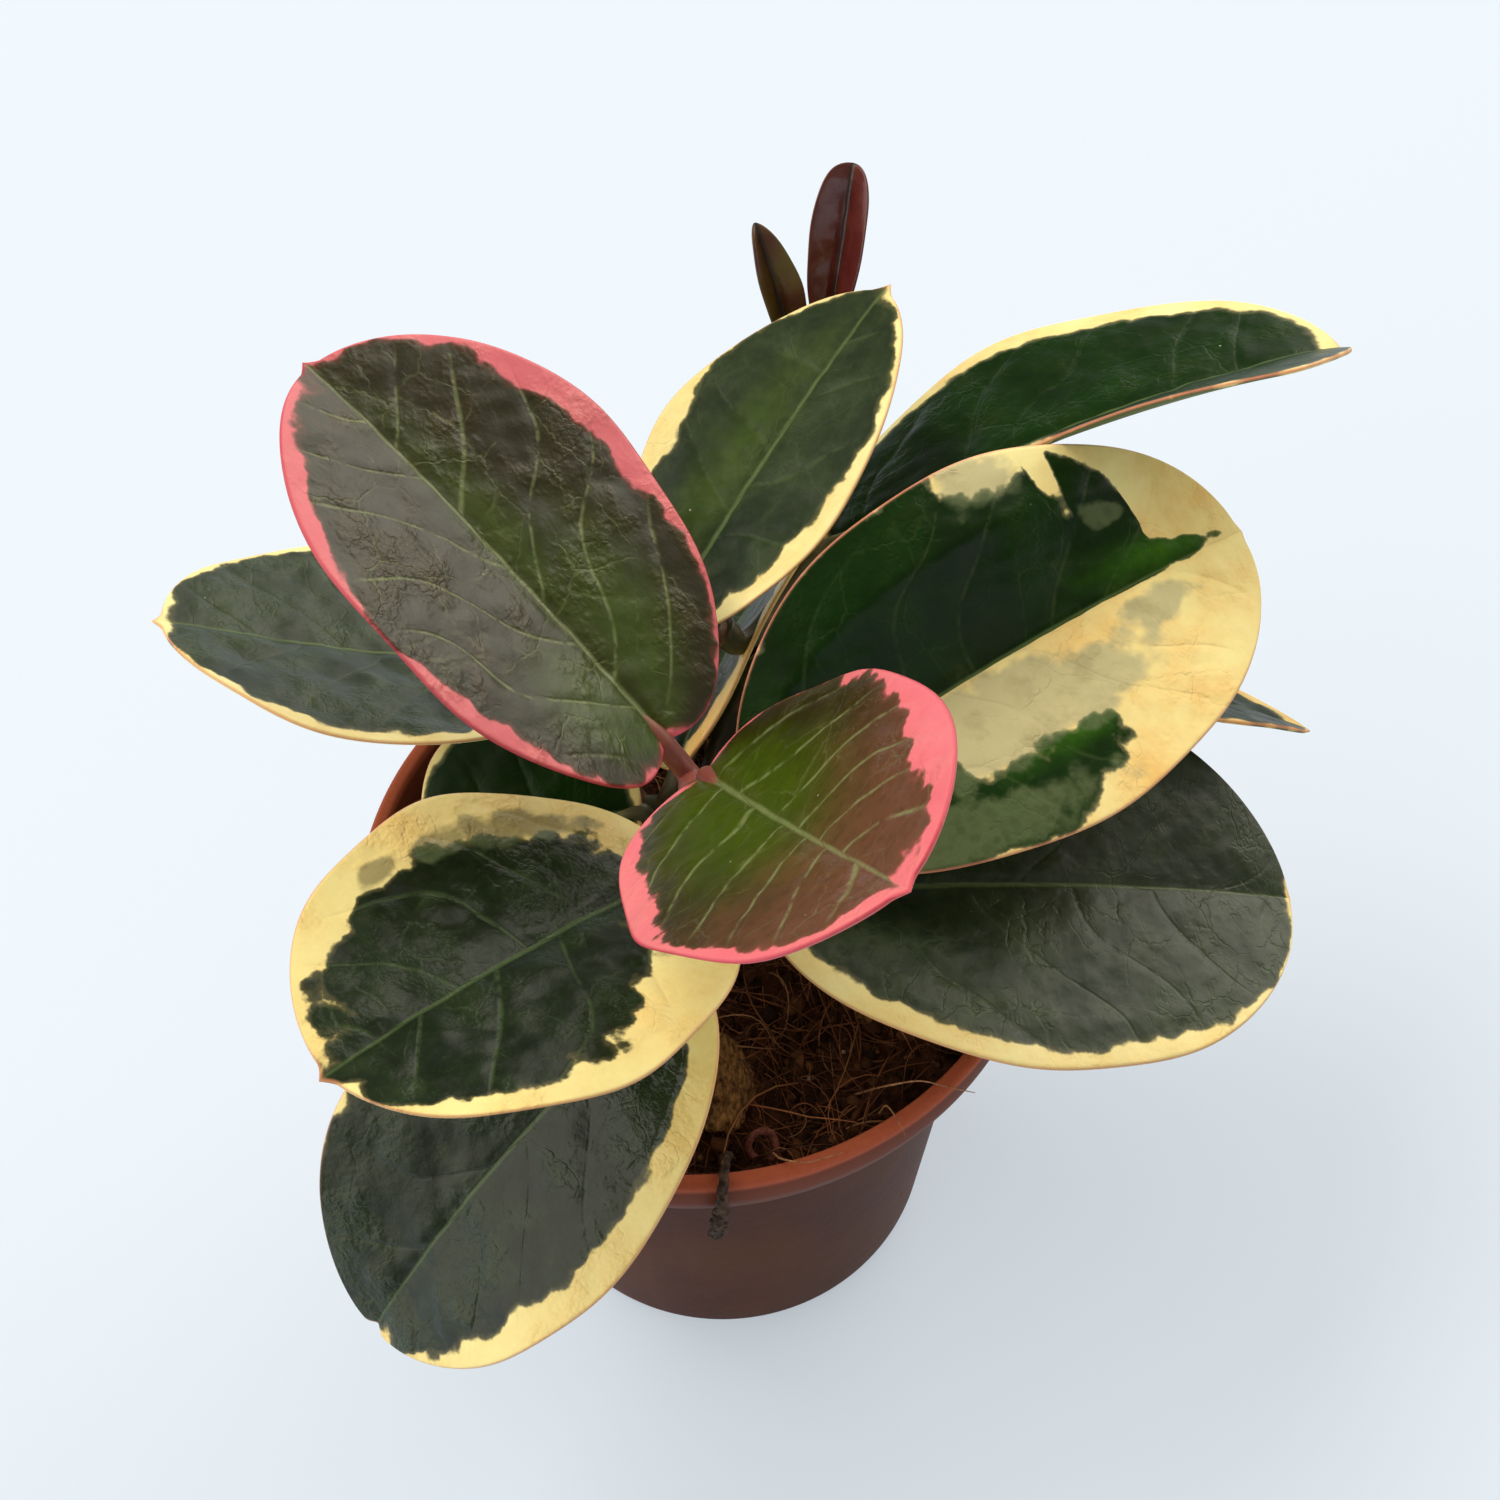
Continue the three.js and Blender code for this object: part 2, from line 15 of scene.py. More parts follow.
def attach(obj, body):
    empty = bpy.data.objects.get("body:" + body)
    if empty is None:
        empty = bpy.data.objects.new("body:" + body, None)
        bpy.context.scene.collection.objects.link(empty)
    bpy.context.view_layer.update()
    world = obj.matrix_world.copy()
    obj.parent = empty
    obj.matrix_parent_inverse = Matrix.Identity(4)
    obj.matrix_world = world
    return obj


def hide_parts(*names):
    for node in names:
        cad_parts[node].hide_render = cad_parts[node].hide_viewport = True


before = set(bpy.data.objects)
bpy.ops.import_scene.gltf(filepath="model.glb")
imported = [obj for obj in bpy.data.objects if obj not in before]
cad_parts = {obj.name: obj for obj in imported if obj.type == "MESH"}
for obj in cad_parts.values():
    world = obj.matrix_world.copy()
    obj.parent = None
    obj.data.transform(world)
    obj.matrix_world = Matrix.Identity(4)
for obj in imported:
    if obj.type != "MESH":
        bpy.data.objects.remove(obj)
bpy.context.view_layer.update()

# %% [markdown]
# ## Camera, floor and light
# The plant is seen from well above, with the camera tipped a little to one side.
# Two pale windows in a dim sky, one behind at the right and one at the left, give some
# waxy leaves a grey sheen and leave others deep green. Many lamps could do the same,
# but a sky costs no noise. One big lamp adds the faint soft shadow, and a floor that
# glows a little keeps that shadow pale.

# %% Camera
LOOK_DOWN = math.radians(54.8)
CAMERA_TILT = math.radians(-3.8)
CAMERA_PLACE = Vector((0.00688, -0.15012, 0.30676))

ahead = Vector((0, math.cos(LOOK_DOWN), -math.sin(LOOK_DOWN)))
level_right = Vector((1, 0, 0))
level_up = level_right.cross(ahead)
camera_right = math.cos(CAMERA_TILT) * level_right + math.sin(CAMERA_TILT) * level_up
camera_up = math.cos(CAMERA_TILT) * level_up - math.sin(CAMERA_TILT) * level_right

lens = bpy.data.cameras.new("camera")
lens.lens = 57.6
lens.sensor_width = 36
lens.clip_start = 0.01
camera = bpy.data.objects.new("camera", lens)
turned = Matrix((camera_right, camera_up, -ahead)).transposed().to_4x4()
camera.matrix_world = Matrix.Translation(CAMERA_PLACE) @ turned
bpy.context.scene.collection.objects.link(camera)
bpy.context.scene.camera = camera
bpy.context.scene.view_settings.view_transform = "Standard"
print("camera at", [round(value, 3) for value in camera.location])


# %% [markdown]
# ## A way to write materials
# Shader maths reads best as arithmetic. `Wire` holds one output of a node, and its
# operators add the Math nodes. `Nodes` writes one tree, and its `node` method adds
# every other kind of node: settings first, then the sockets' values or links. A
# `Finish` is such a tree inside a material, with its principled shader.

# %% Wires and finishes
def paint(red, green, blue):
    """A screen colour, 0 to 255, as the linear red, green, blue and alpha of a shader."""
    shares = np.array([red, green, blue]) / 255
    linear = np.where(shares > 0.04045, ((shares + 0.055) / 1.055) ** 2.4, shares / 12.92)
    return (*linear.tolist(), 1.0)


class Wire:
    """One value, vector or colour that comes out of a node."""

    def __init__(self, nodes, socket):
        self.nodes = nodes
        self.socket = socket

    def maths(self, operation, first, second=0.0):
        settings = {"operation": operation}
        return self.nodes.node("ShaderNodeMath", settings, {0: first, 1: second})

    def __add__(self, other):
        return self.maths("ADD", self, other)

    def __sub__(self, other):
        return self.maths("SUBTRACT", self, other)

    def __rsub__(self, other):
        return self.maths("SUBTRACT", other, self)

    def __mul__(self, other):
        return self.maths("MULTIPLY", self, other)

    def __abs__(self):
        return self.maths("ABSOLUTE", self)

    __radd__ = __add__
    __rmul__ = __mul__


class Nodes:
    """Writes the nodes of one tree, which is a material's or the sky's."""

    def __init__(self, tree):
        self.tree = tree
        tree.nodes.clear()

    def plug(self, node, socket, value):
        """Links a wire to a socket, or sets the socket to a plain value."""
        if isinstance(value, Wire):
            self.tree.links.new(value.socket, node.inputs[socket])
        else:
            node.inputs[socket].default_value = value

    def node(self, kind, settings=None, sockets=None, out=0):
        """Makes a node and returns its output, if it has one."""
        made = self.tree.nodes.new(kind)
        for name, value in (settings or {}).items():
            setattr(made, name, value)
        for socket, value in (sockets or {}).items():
            self.plug(made, socket, value)
        return Wire(self, made.outputs[out]) if made.outputs else None

    def smooth(self, value, low, high):
        """0 below low, 1 above high, and an S-shaped rise between."""
        settings = {"interpolation_type": "SMOOTHSTEP"}
        return self.node("ShaderNodeMapRange", settings, {0: value, 1: low, 2: high})

    def greater(self, first, second):
        """The greater of two values, which lays one mask over another."""
        return self.node("ShaderNodeMath", {"operation": "MAXIMUM"}, {0: first, 1: second})

    def off_whole(self, value):
        """The value less its nearest whole number."""
        return value - self.node("ShaderNodeMath", {"operation": "ROUND"}, {0: value})

    def blend(self, share, first, second):
        """The first colour where share is 0, and the second where it is 1."""
        return self.node(
            "ShaderNodeMix", {"data_type": "RGBA"}, {0: share, 6: first, 7: second}, out=2
        )

    def parts(self, vector):
        """The three numbers of a vector."""
        split = self.node("ShaderNodeSeparateXYZ", None, {0: vector}).socket.node
        return [Wire(self, output) for output in split.outputs]

    def stored(self, name):
        """The three numbers kept on the mesh under a name."""
        return self.parts(self.node("ShaderNodeAttribute", {"attribute_name": name}, out=1))

    def place(self, x, y, z):
        return self.node("ShaderNodeCombineXYZ", None, {0: x, 1: y, 2: z})

    def millimetres(self):
        """The place on the piece, in millimetres."""
        spot = self.node("ShaderNodeTexCoord", out=3)
        scale = {"operation": "SCALE"}
        return self.node("ShaderNodeVectorMath", scale, {0: spot, "Scale": 1000.0})

    def noise(self, spot, size, detail=2.0, rough=0.5):
        """Cloudy values round 0.5, whose largest blots are about `size` across."""
        sockets = {"Vector": spot, "Scale": 1 / size, "Detail": detail, "Roughness": rough}
        return self.node("ShaderNodeTexNoise", None, sockets)

    def cells(self, spot, size, feature="F1", out=0):
        """Distance inside cells about `size` across, to their middle or their wall."""
        sockets = {"Vector": spot, "Scale": 1 / size}
        return self.node("ShaderNodeTexVoronoi", {"feature": feature}, sockets, out=out)

    def bump(self, height):
        """Turns a height in millimetres into a tilted normal."""
        return self.node("ShaderNodeBump", None, {"Distance": 0.001, "Height": height})


def socket_name(word):
    """base_color becomes Base Color, and ior keeps its capitals."""
    return word.replace("_", " ").title().replace("Ior", "IOR")


class Finish(Nodes):
    """One material. The principled shader's plain numbers are given when it is made."""

    def __init__(self, name, **constants):
        self.material = bpy.data.materials.new(name)
        self.material.use_nodes = True
        super().__init__(self.material.node_tree)
        sockets = {socket_name(word): value for word, value in constants.items()}
        shader = self.node("ShaderNodeBsdfPrincipled", None, sockets)
        self.shader = shader.socket.node
        self.node("ShaderNodeOutputMaterial", None, {"Surface": shader})

    def feed(self, **sockets):
        """Links what varies over the surface to the shader."""
        for word, value in sockets.items():
            self.plug(self.shader, socket_name(word), value)
        return self.material


print("a finish is made with Finish(name), then feed(...)")

# %% Floor and light
FLOOR_HALF = 20.0
FLOOR_TINT = (0.8, 0.895, 1.0, 1)
floor_mesh = bpy.data.meshes.new("floor")
floor_corners = [
    (x * FLOOR_HALF, y * FLOOR_HALF, 0) for x, y in ((-1, -1), (1, -1), (1, 1), (-1, 1))
]
floor_mesh.from_pydata(floor_corners, [], [(0, 1, 2, 3)])
floor = bpy.data.objects.new("floor", floor_mesh)
bpy.context.scene.collection.objects.link(floor)
floor_paint = Finish(
    "floor_paint", base_color=(0.395, 0.43, 0.48, 1), roughness=1.0,
    specular_ior_level=0.0, emission_color=FLOOR_TINT, emission_strength=0.46,
)
floor_mesh.materials.append(floor_paint.material)


PLANT_MIDDLE = Vector((0, 0, 0.07))


def softbox(name, place, size, power, colour):
    """A square lamp that points at the plant."""
    lamp = bpy.data.lights.new(name, "AREA")
    lamp.size = size
    lamp.energy = power
    lamp.color = colour
    holder = bpy.data.objects.new(name, lamp)
    holder.location = place
    towards = PLANT_MIDDLE - Vector(place)
    holder.rotation_euler = towards.to_track_quat("-Z", "Y").to_euler()
    bpy.context.scene.collection.objects.link(holder)
    return holder


key = softbox("back_left_lamp", (-2.6, 2.4, 6.0), 3.4, 235.0, (1.0, 0.985, 0.96))
key.visible_glossy = False


def build_sky():
    """The sky's light: a window behind at the right, a fainter one at the left, and
    soft light overhead. Each is a smooth rise of the direction's share towards it."""
    world = bpy.data.worlds.new("sky")
    bpy.context.scene.world = world
    world.use_nodes = True
    sky = Nodes(world.node_tree)
    x, y, z = sky.parts(sky.node("ShaderNodeTexCoord", out=0))
    window = sky.smooth(x * 0.62 + y * 0.69 + z * 0.37, 0.75, 1.0)
    left = sky.smooth(x * -0.91 + y * -0.16 + z * 0.38, 0.6, 1.0)
    overhead = sky.smooth(z, 0.2, 1.0)
    strength = window * 3.0 + left * 1.6 + overhead * 0.3 + 0.22
    light = {"Color": paint(255, 249, 234), "Strength": strength}
    back = sky.node("ShaderNodeBackground", None, light)
    sky.node("ShaderNodeOutputWorld", None, {"Surface": back})


build_sky()
print("floor, lamp and sky made")

# %% [markdown]
# ## Surfaces from whole arrays
# Nearly every piece of a plant is a row of rings: a stem is rings along a path, a
# leaf is flat rings along its midrib, and a pot is rings of changing radius. One
# helper joins rings into a closed skin, and one puts skins into a Blender object.

# %% Rings, skins and pieces
MM = 0.001


def skin(rings, slot=0, **stored):
    """A closed skin from rings, an array (ring, place round it, xyz) in millimetres.
    Neighbouring rings are joined by squares, and a fan of triangles closes each end.
    The faces are turned over if the volume that they shut in comes out negative."""
    count, around = rings.shape[:2]
    ring, turn = np.meshgrid(np.arange(count - 1), np.arange(around), indexing="ij")
    after = (turn + 1) % around
    squares = np.stack(
        [ring * around + turn, ring * around + after,
         (ring + 1) * around + after, (ring + 1) * around + turn], -1,
    ).reshape(-1, 4)
    first, last = count * around, count * around + 1
    here, there = np.arange(around), (np.arange(around) + 1) % around
    top = (count - 1) * around
    fans = np.concatenate([
        np.stack([np.full(around, first), there, here], -1),
        np.stack([np.full(around, last), top + here, top + there], -1),
    ])
    ends = [rings[0].mean(0), rings[-1].mean(0)]
    places = np.concatenate([rings.reshape(-1, 3), ends])
    a, b, c, d = (places[squares[:, corner]] for corner in range(4))
    volume = np.einsum("ij,ij->", a, np.cross(b, c)) + np.einsum("ij,ij->", a, np.cross(c, d))
    if volume < 0:
        squares, fans = squares[:, ::-1], fans[:, ::-1]
    kept = {
        name: np.concatenate([values.reshape(-1, 3), [values[0].mean(0), values[-1].mean(0)]])
        for name, values in stored.items()
    }
    return {"places": places, "squares": squares, "fans": fans, "slot": slot, "kept": kept}


def make_piece(name, skins, finishes, stands_for=()):
    """One object from skins, with its place in its mesh. It rides on the root body."""
    starts = np.cumsum([0] + [len(part["places"]) for part in skins])
    places = np.concatenate([part["places"] for part in skins]) * MM
    squares = [part["squares"] + start for part, start in zip(skins, starts)]
    fans = [part["fans"] + start for part, start in zip(skins, starts)]
    corners = np.concatenate([faces.ravel() for faces in squares + fans])
    sizes = np.concatenate([np.full(len(faces), faces.shape[1]) for faces in squares + fans])
    slots = np.concatenate(
        [np.full(len(faces), part["slot"]) for group in (squares, fans)
         for faces, part in zip(group, skins)]
    )
    mesh = bpy.data.meshes.new(name)
    mesh.vertices.add(len(places))
    mesh.vertices.foreach_set("co", places.astype(np.float32).ravel())
    mesh.loops.add(len(corners))
    mesh.loops.foreach_set("vertex_index", corners.astype(np.int32))
    mesh.polygons.add(len(sizes))
    mesh.polygons.foreach_set("loop_start", (np.cumsum(sizes) - sizes).astype(np.int32))
    mesh.polygons.foreach_set("material_index", slots.astype(np.int32))
    mesh.polygons.foreach_set("use_smooth", np.ones(len(sizes), bool))
    mesh.update(calc_edges=True)
    for label in sorted({label for part in skins for label in part["kept"]}):
        values = np.concatenate(
            [part["kept"].get(label, np.zeros((len(part["places"]), 3))) for part in skins]
        )
        layer = mesh.attributes.new(label, "FLOAT_VECTOR", "POINT")
        layer.data.foreach_set("vector", values.astype(np.float32).ravel())
    for finish in finishes:
        mesh.materials.append(finish)
    piece = bpy.data.objects.new(name, mesh)
    bpy.context.scene.collection.objects.link(piece)
    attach(piece, "root")
    if stands_for:
        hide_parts(*stands_for)
    print(name, "has", int(len(sizes) + (sizes == 4).sum()), "triangles")
    return piece


def ripple(places, size, seed, waves=20):
    """Smooth unevenness, mostly between -1 and 1: the sum of sine waves in random
    directions, whose lengths lie around `size`, over the root of their number."""
    draw = np.random.default_rng(seed)
    turns = draw.normal(size=(places.shape[-1], waves))
    turns *= 2 * math.pi / (size * draw.uniform(0.7, 1.5, waves)) / np.linalg.norm(turns, axis=0)
    return np.sin(places @ turns + draw.uniform(0, 6.28, waves)).sum(-1) / math.sqrt(waves)


def unit(vectors):
    return vectors / np.linalg.norm(vectors, axis=-1, keepdims=True)


# %% [markdown]
# ## Paths and rods
# Stems, stalks, roots and fibres are rods: a round profile carried along a smooth
# path. The path passes through a few known points as a Catmull-Rom curve, whose
# steps are spaced by the square root of the distances, so it never loops.

# %% Smooth paths and rods
def smooth_path(points, steps):
    """Points evenly spaced in each span of the centripetal Catmull-Rom curve through
    `points`: each span is a blend of blends of the four points round it."""
    points = np.asarray(points, float)
    ends = [2 * points[0] - points[1]], [2 * points[-1] - points[-2]]
    points = np.concatenate([ends[0], points, ends[1]])
    found = []
    for i in range(1, len(points) - 2):
        p0, p1, p2, p3 = points[i - 1:i + 3]
        gaps = [math.sqrt(np.linalg.norm(q - p)) for p, q in ((p0, p1), (p1, p2), (p2, p3))]
        t0, t1, t2, t3 = np.cumsum([0, *gaps])
        last = i == len(points) - 3
        t = np.linspace(t1, t2, steps + 1 if last else steps, endpoint=last)[:, None]
        a1 = p0 * (t1 - t) / (t1 - t0) + p1 * (t - t0) / (t1 - t0)
        a2 = p1 * (t2 - t) / (t2 - t1) + p2 * (t - t1) / (t2 - t1)
        a3 = p2 * (t3 - t) / (t3 - t2) + p3 * (t - t2) / (t3 - t2)
        b1 = a1 * (t2 - t) / (t2 - t0) + a2 * (t - t0) / (t2 - t0)
        b2 = a2 * (t3 - t) / (t3 - t1) + a3 * (t - t1) / (t3 - t1)
        found.append(b1 * (t2 - t) / (t2 - t1) + b2 * (t - t1) / (t2 - t1))
    return np.concatenate(found)


def across_path(path):
    """Two directions square to the path at each point, with the least turning: both
    come from the axis that the path keeps furthest away from."""
    ahead = unit(np.gradient(path, axis=0))
    axis = np.eye(3)[np.abs(ahead).max(0).argmin()]
    side = unit(np.cross(ahead, axis))
    return side, np.cross(side, ahead)


def rod(path, radius, sides=16, rough=0.0, size=2.0, seed=1, slot=0):
    """Rings round a path: centre plus radius times the cosine and sine of the turn,
    with the radius uneven by a share `rough` in blots of `size`."""
    side, up = across_path(path)
    turn = np.linspace(0, 2 * math.pi, sides, endpoint=False)
    out = np.cos(turn)[:, None] * side[:, None] + np.sin(turn)[:, None] * up[:, None]
    radii = np.broadcast_to(np.asarray(radius, float), len(path))[:, None]
    rings = path[:, None] + radii[..., None] * out
    swell = 1 + rough * ripple(rings, size, seed)
    rings = path[:, None] + (radii * swell)[..., None] * out
    length = np.concatenate([[0], np.cumsum(np.linalg.norm(np.diff(path, axis=0), axis=1))])
    along = np.broadcast_to(length[:, None], rings.shape[:2])
    share = along / length[-1]
    around = np.broadcast_to(turn, rings.shape[:2])
    return skin(rings, slot, rod=np.stack([along, around, share], -1))


print("a straight test rod has", len(rod(np.array([[0, 0, 0], [0, 0, 9.]]), 1)["places"]), "points")

# %% [markdown]
# ## The pot
# The real pot is thin moulded plastic: a straight taper, a collar that swells out
# under the mouth, and a rounded lip. It is a turned shape, so it is its profile
# carried round the axis, with enough rings for the lip's roundings to catch light.

# %% Pot profile
POT_HEIGHT = 70
RIM_RADIUS = 40
BASE_RADIUS = 27
WALL = 1.5
LIP_WIDTH = 1.8
NECK_RADIUS = 33.3
NECK_HEIGHT = POT_HEIGHT - 14.5
GROOVE = (11, 22, 1.5)
DRAIN_RADIUS = 2.5
DRAIN_COUNT = 6


def collar_curve(inset, steps=14):
    """The collar's profile: a quadratic blend from the neck to the foot of the lip."""
    start = np.array([NECK_RADIUS - inset, NECK_HEIGHT - inset * 0.3])
    pull = np.array([RIM_RADIUS - 0.8 - inset, NECK_HEIGHT + 5])
    stop = np.array([RIM_RADIUS - inset, POT_HEIGHT - 4])
    t = np.linspace(0, 1, steps)[:, None]
    return start * (1 - t) ** 2 + pull * 2 * t * (1 - t) + stop * t ** 2


def quarter(centre, radius, start, stop, steps=6):
    """An arc of the profile between two angles in degrees."""
    turn = np.radians(np.linspace(start, stop, steps))
    return np.asarray(centre) + radius * np.stack([np.cos(turn), np.sin(turn)], -1)


def taper(low, high, inset, steps=12):
    """The straight wall between two heights."""
    z = np.linspace(low, high, steps)
    radius = BASE_RADIUS + (NECK_RADIUS - BASE_RADIUS) * z / NECK_HEIGHT - inset
    return np.stack([radius, z], -1)


inner, outer, deep = GROOVE
pot_profile = np.concatenate([
    [[0.4, 0], [inner - 0.6, 0]],
    quarter((inner - 0.6, 0.4), 0.4, -90, -20, 3),
    [[inner + 0.9, deep], [outer - 0.9, deep]],
    quarter((outer + 0.5, 0.4), 0.4, 200, 270, 3),
    [[BASE_RADIUS - 1.2, 0]],
    quarter((BASE_RADIUS - 1.1, 1.2), 1.2, -90, -8, 6),
    taper(1.5, NECK_HEIGHT - 1.2, 0),
    collar_curve(0),
    quarter((RIM_RADIUS - 0.9, POT_HEIGHT - 0.9), 0.9, 0, 90, 7),
    quarter((RIM_RADIUS - LIP_WIDTH + 0.45, POT_HEIGHT - 0.5), 0.45, 90, 180, 5),
    collar_curve(LIP_WIDTH)[::-1],
    taper(NECK_HEIGHT - 1.8, deep + WALL + 1, WALL),
    [[outer + 3, deep + WALL], [inner + 1, deep + WALL], [inner - 1, WALL], [0.4, WALL]],
])


def turned_rings(profile, around=180):
    """Rings of a turned shape: radius times the cosine and sine of the turn."""
    turn = np.linspace(0, 2 * math.pi, around, endpoint=False)
    radius, z = profile[:, :1], profile[:, 1:]
    flat = [radius * np.cos(turn), radius * np.sin(turn), z + 0 * turn]
    return np.stack(flat, -1)


print("pot profile of", len(pot_profile), "points")

# %% [markdown]
# The plastic is brown. The lip's outer band is painted a little lighter than the body,
# and the lip's top much lighter and more orange: painted light where it faces up.
# Handling leaves dull patches, faint scuffs and a little dried dust, and the mould
# leaves very shallow waves in the wall that break up the reflections.

# %% Pot finish
def pot_finish():
    pot = Finish("terracotta_plastic", specular_ior_level=0.03)
    spot = pot.millimetres()
    x, y, z = pot.parts(spot)
    blots = pot.noise(spot, 18, 4)
    grains = pot.noise(spot, 0.5, 3)
    streaks = pot.noise(pot.place(x, y, z * 0.08), 3.5, 3)
    body = pot.blend(pot.smooth(blots, 0.35, 0.65), paint(74, 37, 24), paint(86, 49, 28))
    body = pot.blend(pot.smooth(streaks, 0.5, 0.8) * 0.2, body, paint(112, 62, 44))
    face = pot.blend(blots, paint(104, 52, 36), paint(120, 62, 44))
    # painted light: the lip's upward-facing top is painted far lighter than the body
    lip = pot.blend(grains, paint(166, 82, 58), paint(184, 98, 72))
    colour = pot.blend(pot.smooth(z + (blots - 0.5) * 3, 62.0, 66.0), body, face)
    colour = pot.blend(pot.smooth(z + (blots - 0.5) * 0.6, 68.2, 69.3), colour, lip)
    dust = pot.smooth(pot.noise(spot, 3.1, 5, 0.65), 0.6, 0.8)
    colour = pot.blend(dust * 0.1, colour, paint(150, 112, 92))
    height = blots * 0.25 + grains * 0.014 + streaks * 0.02
    rough = 0.34 + blots * 0.12 + dust * 0.2 + grains * 0.08
    return pot.feed(base_color=colour, roughness=rough, normal=pot.bump(height))


pot_skin = skin(turned_rings(pot_profile))
pot = make_piece("pot_body", [pot_skin], [pot_finish()], ["pot"])

# %% [markdown]
# The six drain holes lie in the ring-shaped groove under the pot. A turned profile has
# no room for them, so one Boolean bores them all with a ring of upright rods, and its
# result is kept as the pot's mesh.

# %% Drain holes
def bore_drains(piece):
    """Cuts the drain holes with one cutter, a ring of rods, and drops the cutter."""
    ring = (GROOVE[0] + GROOVE[1]) / 2
    drills = []
    for turn in np.arange(DRAIN_COUNT) * 2 * math.pi / DRAIN_COUNT:
        x, y = ring * math.cos(turn), ring * math.sin(turn)
        drills.append(rod(np.array([[x, y, -2.0], [x, y, 8.0]]), DRAIN_RADIUS, sides=32))
    cutter = make_piece("drain_cutter", drills, [])
    cut = piece.modifiers.new("drains", "BOOLEAN")
    cut.object = cutter
    cut.operation = "DIFFERENCE"
    cut.solver = "EXACT"
    bpy.context.view_layer.objects.active = piece
    bpy.context.view_layer.update()
    shown = piece.evaluated_get(bpy.context.evaluated_depsgraph_get())
    bored = bpy.data.meshes.new_from_object(shown)
    piece.modifiers.clear()
    piece.data = bored
    bpy.data.objects.remove(cutter)


bore_drains(pot)
print("the pot has", len(pot.data.polygons), "faces after boring")

# %% [markdown]
# ## The potting mix
# The mix is peat crumbs bound with coir: a dark, broken surface under a tangle of
# fine curved fibres. The ground is one uneven mound that fills the pot. The crumbs
# and fibres are many tiny copies, all worked out at once and kept in a few meshes.

# %% Soil mound
SOIL_EDGE = POT_HEIGHT - 6
SOIL_RADIUS = 37.6


def soil_height(x, y):
    """Height of the mix: a low dome plus two slow waves."""
    uneven = np.sin(x * 0.31 + 1) * np.cos(y * 0.27) + 0.5 * np.sin(x * 0.7 - y * 0.5)
    return SOIL_EDGE + 1.6 * ((1 - (x * x + y * y) / RIM_RADIUS ** 2) + 0.45 * uneven)


def broken_height(x, y):
    """The same height, broken into lumps of a few sizes."""
    flat = np.stack([x, y], -1)
    lumps = 0.8 * ripple(flat, 6, 3) + 0.45 * ripple(flat, 2.4, 4) + 0.25 * ripple(flat, 1.1, 5)
    return soil_height(x, y) + lumps - 0.3


def soil_rings(around=300):
    """Rings out from the middle over the mound, then down inside the wall."""
    turn = np.linspace(0, 2 * math.pi, around, endpoint=False)
    radius = np.linspace(0.2, SOIL_RADIUS, 90)[:, None]
    x, y = radius * np.cos(turn), radius * np.sin(turn)
    top = np.stack([x, y, broken_height(x, y)], -1)
    down = [(NECK_RADIUS - WALL - 0.8, NECK_HEIGHT - 1), (BASE_RADIUS - 1.8, 3.4), (0.3, 3.3)]
    return np.concatenate([top, turned_rings(np.array(down), around)])


def soil_finish():
    soil = Finish("peat_mix", specular_ior_level=0.2)
    spot = soil.millimetres()
    crumbs = soil.noise(spot, 1.5, 6, 0.7)
    patches = soil.noise(spot, 9, 3)
    colour = soil.blend(soil.smooth(crumbs, 0.3, 0.75), paint(36, 20, 13), paint(104, 62, 42))
    colour = soil.blend(soil.smooth(patches, 0.45, 0.7) * 0.5, colour, paint(120, 70, 44))
    pale = soil.smooth(soil.noise(spot, 0.8, 2), 0.72, 0.8)
    colour = soil.blend(pale * 0.6, colour, paint(150, 118, 88))
    height = crumbs * 0.9 + soil.noise(spot, 0.4, 3) * 0.2
    return soil.feed(base_color=colour, roughness=0.9, normal=soil.bump(height))


soil_paint = soil_finish()
make_piece("soil_mound", [skin(soil_rings())], [soil_paint], ["soil"])

# %% [markdown]
# Coir lies on the mix as loose, curved hairs. Curve objects would each need their own
# bevel and conversion, so every hair is a row of three-sided rings instead, and one
# call works out hundreds of them. A number kept on each hair sets its own tone.

# %% Coir fibres
def fibre_rings(start, heading, length, curl, lift, radius, steps=9, sides=3):
    """Rings of many fibres at once. Each runs along the ground from its start, its
    heading turning steadily by `curl` over its length, and arches up by `lift` times
    a sine. It is drawn in to stay within the pot's wall. Its width tapers to the end."""
    t = np.linspace(0, 1, steps)
    turn = heading[:, None] + curl[:, None] * (t - 0.5)
    step = length[:, None] / (steps - 1)
    x = start[:, :1] + np.cumsum(np.cos(turn) * step, 1)
    y = start[:, 1:] + np.cumsum(np.sin(turn) * step, 1)
    reach = np.hypot(x, y)
    keep = np.minimum(1, (SOIL_RADIUS - 0.3) / reach)
    x, y = x * keep, y * keep
    z = soil_height(x, y) + 0.2 + lift[:, None] * np.sin(math.pi * (0.1 + 0.85 * t))
    path = np.stack([x, y, z], -1)
    ahead = unit(np.gradient(path, axis=1))
    side = unit(np.cross(ahead, [0, 0, 1]))
    up = np.cross(side, ahead)
    around = np.linspace(0, 2 * math.pi, sides, endpoint=False)[:, None]
    out = np.cos(around) * side[:, :, None] + np.sin(around) * up[:, :, None]
    width = radius[:, None] * (1 - 0.75 * t ** 2)
    return path[:, :, None] + width[:, :, None, None] * out


